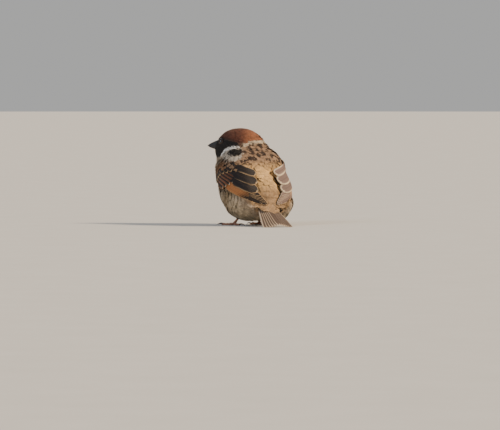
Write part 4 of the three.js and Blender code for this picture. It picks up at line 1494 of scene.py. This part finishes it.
class SPARROW_OT_claws(bpy.types.Operator):
    """Claws: curved horns from the toes' ends down to the floor."""

    bl_idname = "sparrow.claws"
    bl_label = "Claws"

    def execute(self, context):
        colours = colours_of(context)
        finish = horn_finish("claw", colours["claw"], colours["claw"] * 2.0, 0.35)
        for word, side in SIDES.items():
            rings = np.stack([self.claw(side, toe) for toe in TOES.values()])
            piece = build(f"claws_{word}", *tubes(rings), finish, "claw")
            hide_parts(*(f"claw_{word}_{number}" for number in TOES))
        return {"FINISHED"}

    def claw(self, side, toe):
        """Rings along a cubic Bezier that rises from the toe and comes down, thinning to a point."""
        spread, length, claw, thick = toe
        ahead = heading(side, spread)
        low = thick - FLAT + 0.1
        at = lambda out, height: HUB * [side, 1, 0] + ahead * (length + out) + np.array([0, 0, height])
        t = np.linspace(0, 1, 28)
        rise, fall = at(0.35 * claw, low + 0.95), at(0.8 * claw, low + 0.5)
        path = bezier(t, at(-0.5, low), rise, fall, at(claw, 0.12))
        half = mix(0.58, 0.1, t**0.8) * np.sqrt(np.clip((1 - t) / 0.04 + 0.05, 0, 1))
        half = half[:, None] * np.ones(CLAW_STEPS)
        rings = swept(path, half, 1.2 * half, CLAW_STEPS)
        rings[..., 2] = np.maximum(rings[..., 2], 0.0)
        return rings


# The camera looks at a place this far right of and above the shapes' origin. FRAME_WIDTH is what its view
# spans there, in millimetres.
AZIMUTH, ELEVATION = math.radians(148), math.radians(2)
AIM_RIGHT, AIM_UP, FRAME_WIDTH, SENSOR = 1.48, 7.41, 370.4, 36.0
FLOOR_RADIUS, FLOOR_STEPS = 9.0, 96


class SPARROW_OT_stage(bpy.types.Operator):
    """Floor, lights and camera."""

    bl_idname = "sparrow.stage"
    bl_label = "Stage"

    def execute(self, context):
        scene = context.scene
        level = np.array([math.sin(AZIMUTH), -math.cos(AZIMUTH), 0])
        back = level * math.cos(ELEVATION) + np.array([0, 0, math.sin(ELEVATION)])
        right = unit(np.cross([0, 0, 1], back))
        above = np.cross(back, right)
        aim = (SHIFT + right * AIM_RIGHT + above * AIM_UP) / 1000
        distance = scene.sparrow_sizes.camera_distance
        lens = bpy.data.cameras.new("camera")
        lens.sensor_width = SENSOR
        lens.lens = SENSOR * distance / (FRAME_WIDTH / 1000)
        lens.clip_end = 50
        self.put(scene, bpy.data.objects.new("camera", lens), aim + back * distance, right, above, back)
        scene.camera = scene.objects["camera"]

        key, fill = right * 0.82 + above * 0.52 + back * 0.22, -right * 0.7 + above * 0.5 + back * 0.7
        self.lamp(scene, "key", unit(key), 5.4, 9, tint(255, 232, 200))
        self.lamp(scene, "fill", unit(fill), 1.0, 22, tint(226, 236, 255))

        world = bpy.data.worlds.new("room")
        world.use_nodes = True
        background = world.node_tree.nodes["Background"]
        background.inputs["Color"].default_value = (0.80, 0.80, 0.79, 1)
        background.inputs["Strength"].default_value = 0.55
        scene.world = world

        mesh = bpy.data.meshes.new("floor")
        turn = around(FLOOR_STEPS)
        rim = np.column_stack([np.cos(turn), np.sin(turn), 0 * turn]) * FLOOR_RADIUS
        mesh.from_pydata(rim.tolist(), [], [list(range(FLOOR_STEPS))])
        floor = bpy.data.objects.new("floor", mesh)
        scene.collection.objects.link(floor)
        pale = Finish("floor", Specular_IOR_Level=0.2)
        pale.feed("Base Color", pale.blend(pale.noise(30.0), (0.60, 0.58, 0.55), (0.66, 0.64, 0.61)))
        pale.feed("Roughness", 0.85)
        mesh.materials.append(pale.material)
        return {"FINISHED"}

    def put(self, scene, thing, place, right, above, back):
        """An object at a place, with its own axes given."""
        scene.collection.objects.link(thing)
        rows = np.eye(4)
        rows[:3, 0], rows[:3, 1], rows[:3, 2], rows[:3, 3] = right, above, back, place
        thing.matrix_world = Matrix(rows)

    def lamp(self, scene, name, back, strength, spread, colour):
        """A broad distant light from a direction, of an angle in degrees."""
        light = bpy.data.lights.new(name, "SUN")
        light.energy, light.angle, light.color = strength, math.radians(spread), colour
        right = unit(np.cross([0, 0, 1], back))
        self.put(scene, bpy.data.objects.new(name, light), back, right, np.cross(back, right), back)


class SPARROW_PT_panel(bpy.types.Panel):
    """Sizes, colours and the pieces in the order in which they are made."""

    bl_label = "Sparrow"
    bl_idname = "SPARROW_PT_panel"
    bl_space_type = "VIEW_3D"
    bl_region_type = "UI"
    bl_category = "Sparrow"

    def draw(self, context):
        """Properties above, buttons below."""
        column = self.layout.column()
        for group in (context.scene.sparrow_sizes, context.scene.sparrow_colours):
            for key in group.__annotations__:
                column.prop(group, key)
        for operator in OPERATORS:
            column.operator(operator.bl_idname)


OPERATORS = (
    SPARROW_OT_stage, SPARROW_OT_skin, SPARROW_OT_coat, SPARROW_OT_wings, SPARROW_OT_tail,
    SPARROW_OT_bill, SPARROW_OT_eyes, SPARROW_OT_feet, SPARROW_OT_claws,
)
CLASSES = (SparrowColours, SparrowSizes, *OPERATORS, SPARROW_PT_panel)


def register():
    """Classes first, then the scene's two groups of properties."""
    for made in CLASSES:
        bpy.utils.register_class(made)
    bpy.types.Scene.sparrow_colours = PointerProperty(type=SparrowColours)
    bpy.types.Scene.sparrow_sizes = PointerProperty(type=SparrowSizes)


def unregister():
    """What register made, taken away from last to first."""
    del bpy.types.Scene.sparrow_sizes
    del bpy.types.Scene.sparrow_colours
    for made in reversed(CLASSES):
        bpy.utils.unregister_class(made)


def main():
    """Every operator in turn."""
    register()
    for operator in OPERATORS:
        family, name = operator.bl_idname.split(".")
        getattr(getattr(bpy.ops, family), name)()
    bpy.context.view_layer.update()


if __name__ == "__main__":
    main()
